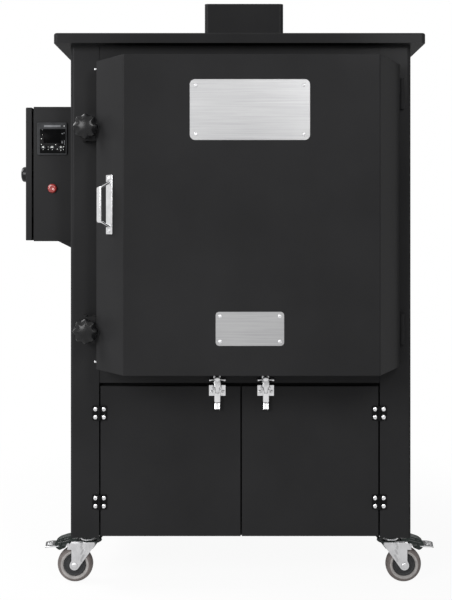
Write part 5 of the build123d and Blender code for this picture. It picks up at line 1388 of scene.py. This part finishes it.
class KILN_OT_gland(bpy.types.Operator):
    """Makes the mains gland: flange, six-sided body, ribbed cap and inner nut"""

    bl_idname = "kiln.gland"
    bl_label = "Mains gland"

    def execute(self, context):
        gland = Form()
        low, high = cad_span("cable_gland")
        centre = ((low[0] + high[0]) / 2, high[1] - 26.0, (low[2] + high[2]) / 2)
        hexagonal = hexagon_edge(72) - 1
        ribbed = -0.02 * (1 + np.cos(np.arange(72) * 2 * np.pi / 6))
        body = ((5.0, 0.0), (12.8, 0.0), (13.0, 0.6), (13.0, 4.4), (12.4, 5.0), (10.6, 5.0), (5.0, 5.0),
                (5.0, 0.0))
        cap = ((5.0, 4.0), (10.4, 4.0), (10.9, 5.4), (10.9, 15.0), (10.4, 19.0), (8.8, 23.4),
               (6.6, 25.6), (5.0, 26.0), (5.0, 4.0))
        nut = ((5.0, -6.0), (12.6, -6.0), (13.0, -5.4), (13.0, -2.6), (12.6, -2.0), (5.0, -2.0),
               (5.0, -6.0))
        thread = ((5.0, -10.0), (9.4, -10.0), (9.7, -9.4), (9.7, 4.0), (5.0, 4.0), (5.0, -10.0))
        for section, shares, change in (
            (body, (0, 1, 1, 1, 1, 0, 0, 0), hexagonal),
            (cap, (0, 0, 1, 1, 0.5, 0, 0, 0, 0), ribbed),
            (nut, (0, 1, 1, 1, 1, 0, 0), hexagonal),
            (thread, (0, 0, 0, 0, 0, 0), hexagonal),
        ):
            ring(gland, section, centre, Y, 72, 1 + np.array(shares)[:, None] * change)
        place_piece("mains_gland", gland, "kiln_body", ["hinge plastic"],
                    ("cable_gland",))
        return {"FINISHED"}


class KILN_OT_casing(bpy.types.Operator):
    """Gives the CAD's own sheet metal, brick and tubes their finishes"""

    bl_idname = "kiln.casing"
    bl_label = "Casing and lining finishes"

    def execute(self, context):
        chosen = {
            "brick": ("chamber_floor", "chamber_walls", "chamber_roof"),
            "tube": ("flue_tube", "thermocouple"),
            "hinge plastic": ("power_contactor",),
            "coat": (
                "base_frame", "side_casing_left", "side_casing_right", "front_panel", "rear_panel",
                "deck_plates", "roof_tray", "chimney_box", "terminal_cover", "control_enclosure",
                "enclosure_lid", "door_shell", "door_hinge_pins", "door_hinge_barrels",
                "clamp_brackets", "cabinet_door_left", "cabinet_door_right",
            ),
        }
        for name, nodes in chosen.items():
            for node in nodes:
                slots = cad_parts[node].material_slots
                if not slots:
                    raise RuntimeError("no material slot on " + node)
                for slot in slots:
                    slot.material = finish(name)
        return {"FINISHED"}


class KILN_OT_stage(bpy.types.Operator):
    """Makes the floor, the soft lamps, the pale world and the camera"""

    bl_idname = "kiln.stage"
    bl_label = "Stage"

    def floor(self):
        """A wide disc, pale, that keeps the shadow near the kiln and fades to white far off."""
        disc = Form()
        radius = np.array((0.0, 1000.0, 3000.0, 9000.0, 40000.0))
        disc.grid(radius[:, None, None] * circle(Z, 96)[1] - LAYOUT_SHIFT)
        floor = bpy.data.objects.new("studio_floor", disc.mesh("studio_floor"))
        bpy.context.scene.collection.objects.link(floor)
        made = Finish("Studio floor", base_color=(0.86, 0.86, 0.86, 1.0), roughness=0.9,
                      specular_ior_level=0.1)
        x, y = made.axis("X"), made.axis("Y")
        far = ((x * x + y * y) ** 0.5).over(0.55, 1.5)
        white = made.node("ShaderNodeEmission", {}, {"Color": (1, 1, 1, 1), "Strength": 1.0})
        share = made.seen() * (far * 0.06 + 0.94)
        shaders = {0: share, 1: made.shader.outputs[0], 2: white.outputs[0]}
        mixed = made.node("ShaderNodeMixShader", {}, shaders)
        made.put(made.output.inputs[0], mixed.outputs[0])
        floor.data.materials.append(made.material)
        floor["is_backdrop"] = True

    def world(self, ambient):
        """White where it is seen, directly or in a reflection, and a plain ambient elsewhere."""
        world = bpy.data.worlds.new("Studio")
        sky = Tree(world)
        soft, white = [
            sky.node("ShaderNodeBackground", {}, {"Color": (1, 1, 1, 1), "Strength": strength})
            for strength in (ambient, 1.0)
        ]
        shaders = {0: sky.seen(), 1: soft.outputs[0], 2: white.outputs[0]}
        mixed = sky.node("ShaderNodeMixShader", {}, shaders)
        sky.node("ShaderNodeOutputWorld", {}, {0: mixed.outputs[0]})
        bpy.context.scene.world = world

    def lamp(self, name, place, target, size, power):
        """An area lamp that faces a target."""
        data = bpy.data.lights.new(name, "AREA")
        data.shape = "RECTANGLE"
        data.size, data.size_y = size
        data.energy = power
        lamp = bpy.data.objects.new(name, data)
        bpy.context.scene.collection.objects.link(lamp)
        lamp.location = place
        towards = np.array(target, float) - np.array(place, float)
        yaw = math.atan2(towards[1], towards[0]) - math.pi / 2
        pitch = math.atan2(towards[2], math.hypot(towards[0], towards[1])) + math.pi / 2
        lamp.rotation_euler = (pitch, 0.0, yaw)

    def execute(self, context):
        stage = context.scene.kiln_stage
        self.floor()
        self.world(stage.ambient)
        self.lamp("Key lamp", (-1.7, -3.2, 1.7), (0.0, 0.0, 0.7), (1.4, 1.4), stage.key_power)
        self.lamp("Side lamp", (-2.0, -0.1, 2.3), (-0.3, -0.4, 1.1), (1.0, 1.2), stage.side_power)
        self.lamp("Strip lamp", (0.95, -2.9, 2.1), (0.3, -0.4, 1.1), (0.6, 1.1), stage.strip_power)
        data = bpy.data.cameras.new("Product view")
        data.sensor_fit = "VERTICAL"
        data.sensor_height = 36.0
        data.lens = stage.focal_length
        data.shift_x = -0.01167
        data.shift_y = -0.125
        camera = bpy.data.objects.new("Product view", data)
        bpy.context.scene.collection.objects.link(camera)
        camera.location = (LAYOUT_SHIFT[0] / 1000 - 0.015, -2.792, 0.845)
        camera.rotation_euler = (math.pi / 2, 0.0, 0.0)
        context.scene.camera = camera
        context.scene.view_settings.view_transform = "Standard"
        return {"FINISHED"}


OPERATORS = (
    KILN_OT_casing,
    KILN_OT_clamp_knobs,
    KILN_OT_door_handle,
    KILN_OT_nameplates,
    KILN_OT_screws,
    KILN_OT_cabinet_hinges,
    KILN_OT_toggle_latches,
    KILN_OT_casters,
    KILN_OT_instrument,
    KILN_OT_lid_lock,
    KILN_OT_lining,
    KILN_OT_gland,
    KILN_OT_stage,
)


class KILN_PT_dressing(bpy.types.Panel):
    """Lists the kiln's pieces, sizes and colours in the sidebar."""

    bl_label = "Ceramic kiln"
    bl_idname = "KILN_PT_dressing"
    bl_space_type = "VIEW_3D"
    bl_region_type = "UI"
    bl_category = "Kiln"

    def draw(self, context):
        for operator in OPERATORS:
            self.layout.operator(operator.bl_idname)
        for name in ("kiln_finish", "kiln_fitting", "kiln_stage"):
            group = getattr(context.scene, name)
            for key in group.__annotations__:
                self.layout.prop(group, key)


GROUPS = (("kiln_finish", KilnFinish), ("kiln_fitting", KilnFitting), ("kiln_stage", KilnStage))


def register():
    """Registers the groups, the operators and the panel."""
    for name, group in GROUPS:
        bpy.utils.register_class(group)
        setattr(bpy.types.Scene, name, bpy.props.PointerProperty(type=group))
    for operator in OPERATORS:
        bpy.utils.register_class(operator)
    bpy.utils.register_class(KILN_PT_dressing)


def unregister():
    """Takes back all that register added."""
    bpy.utils.unregister_class(KILN_PT_dressing)
    for operator in reversed(OPERATORS):
        bpy.utils.unregister_class(operator)
    for name, group in reversed(GROUPS):
        delattr(bpy.types.Scene, name)
        bpy.utils.unregister_class(group)


def corners():
    """The whole object's lowest and highest corner, as plain lists."""
    return [list(corner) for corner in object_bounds()]


def main():
    """Dresses the frame."""
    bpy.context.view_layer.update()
    register()
    for operator in OPERATORS:
        family, name = operator.bl_idname.split(".")
        getattr(getattr(bpy.ops, family), name)()


if __name__ == "__main__":
    main()
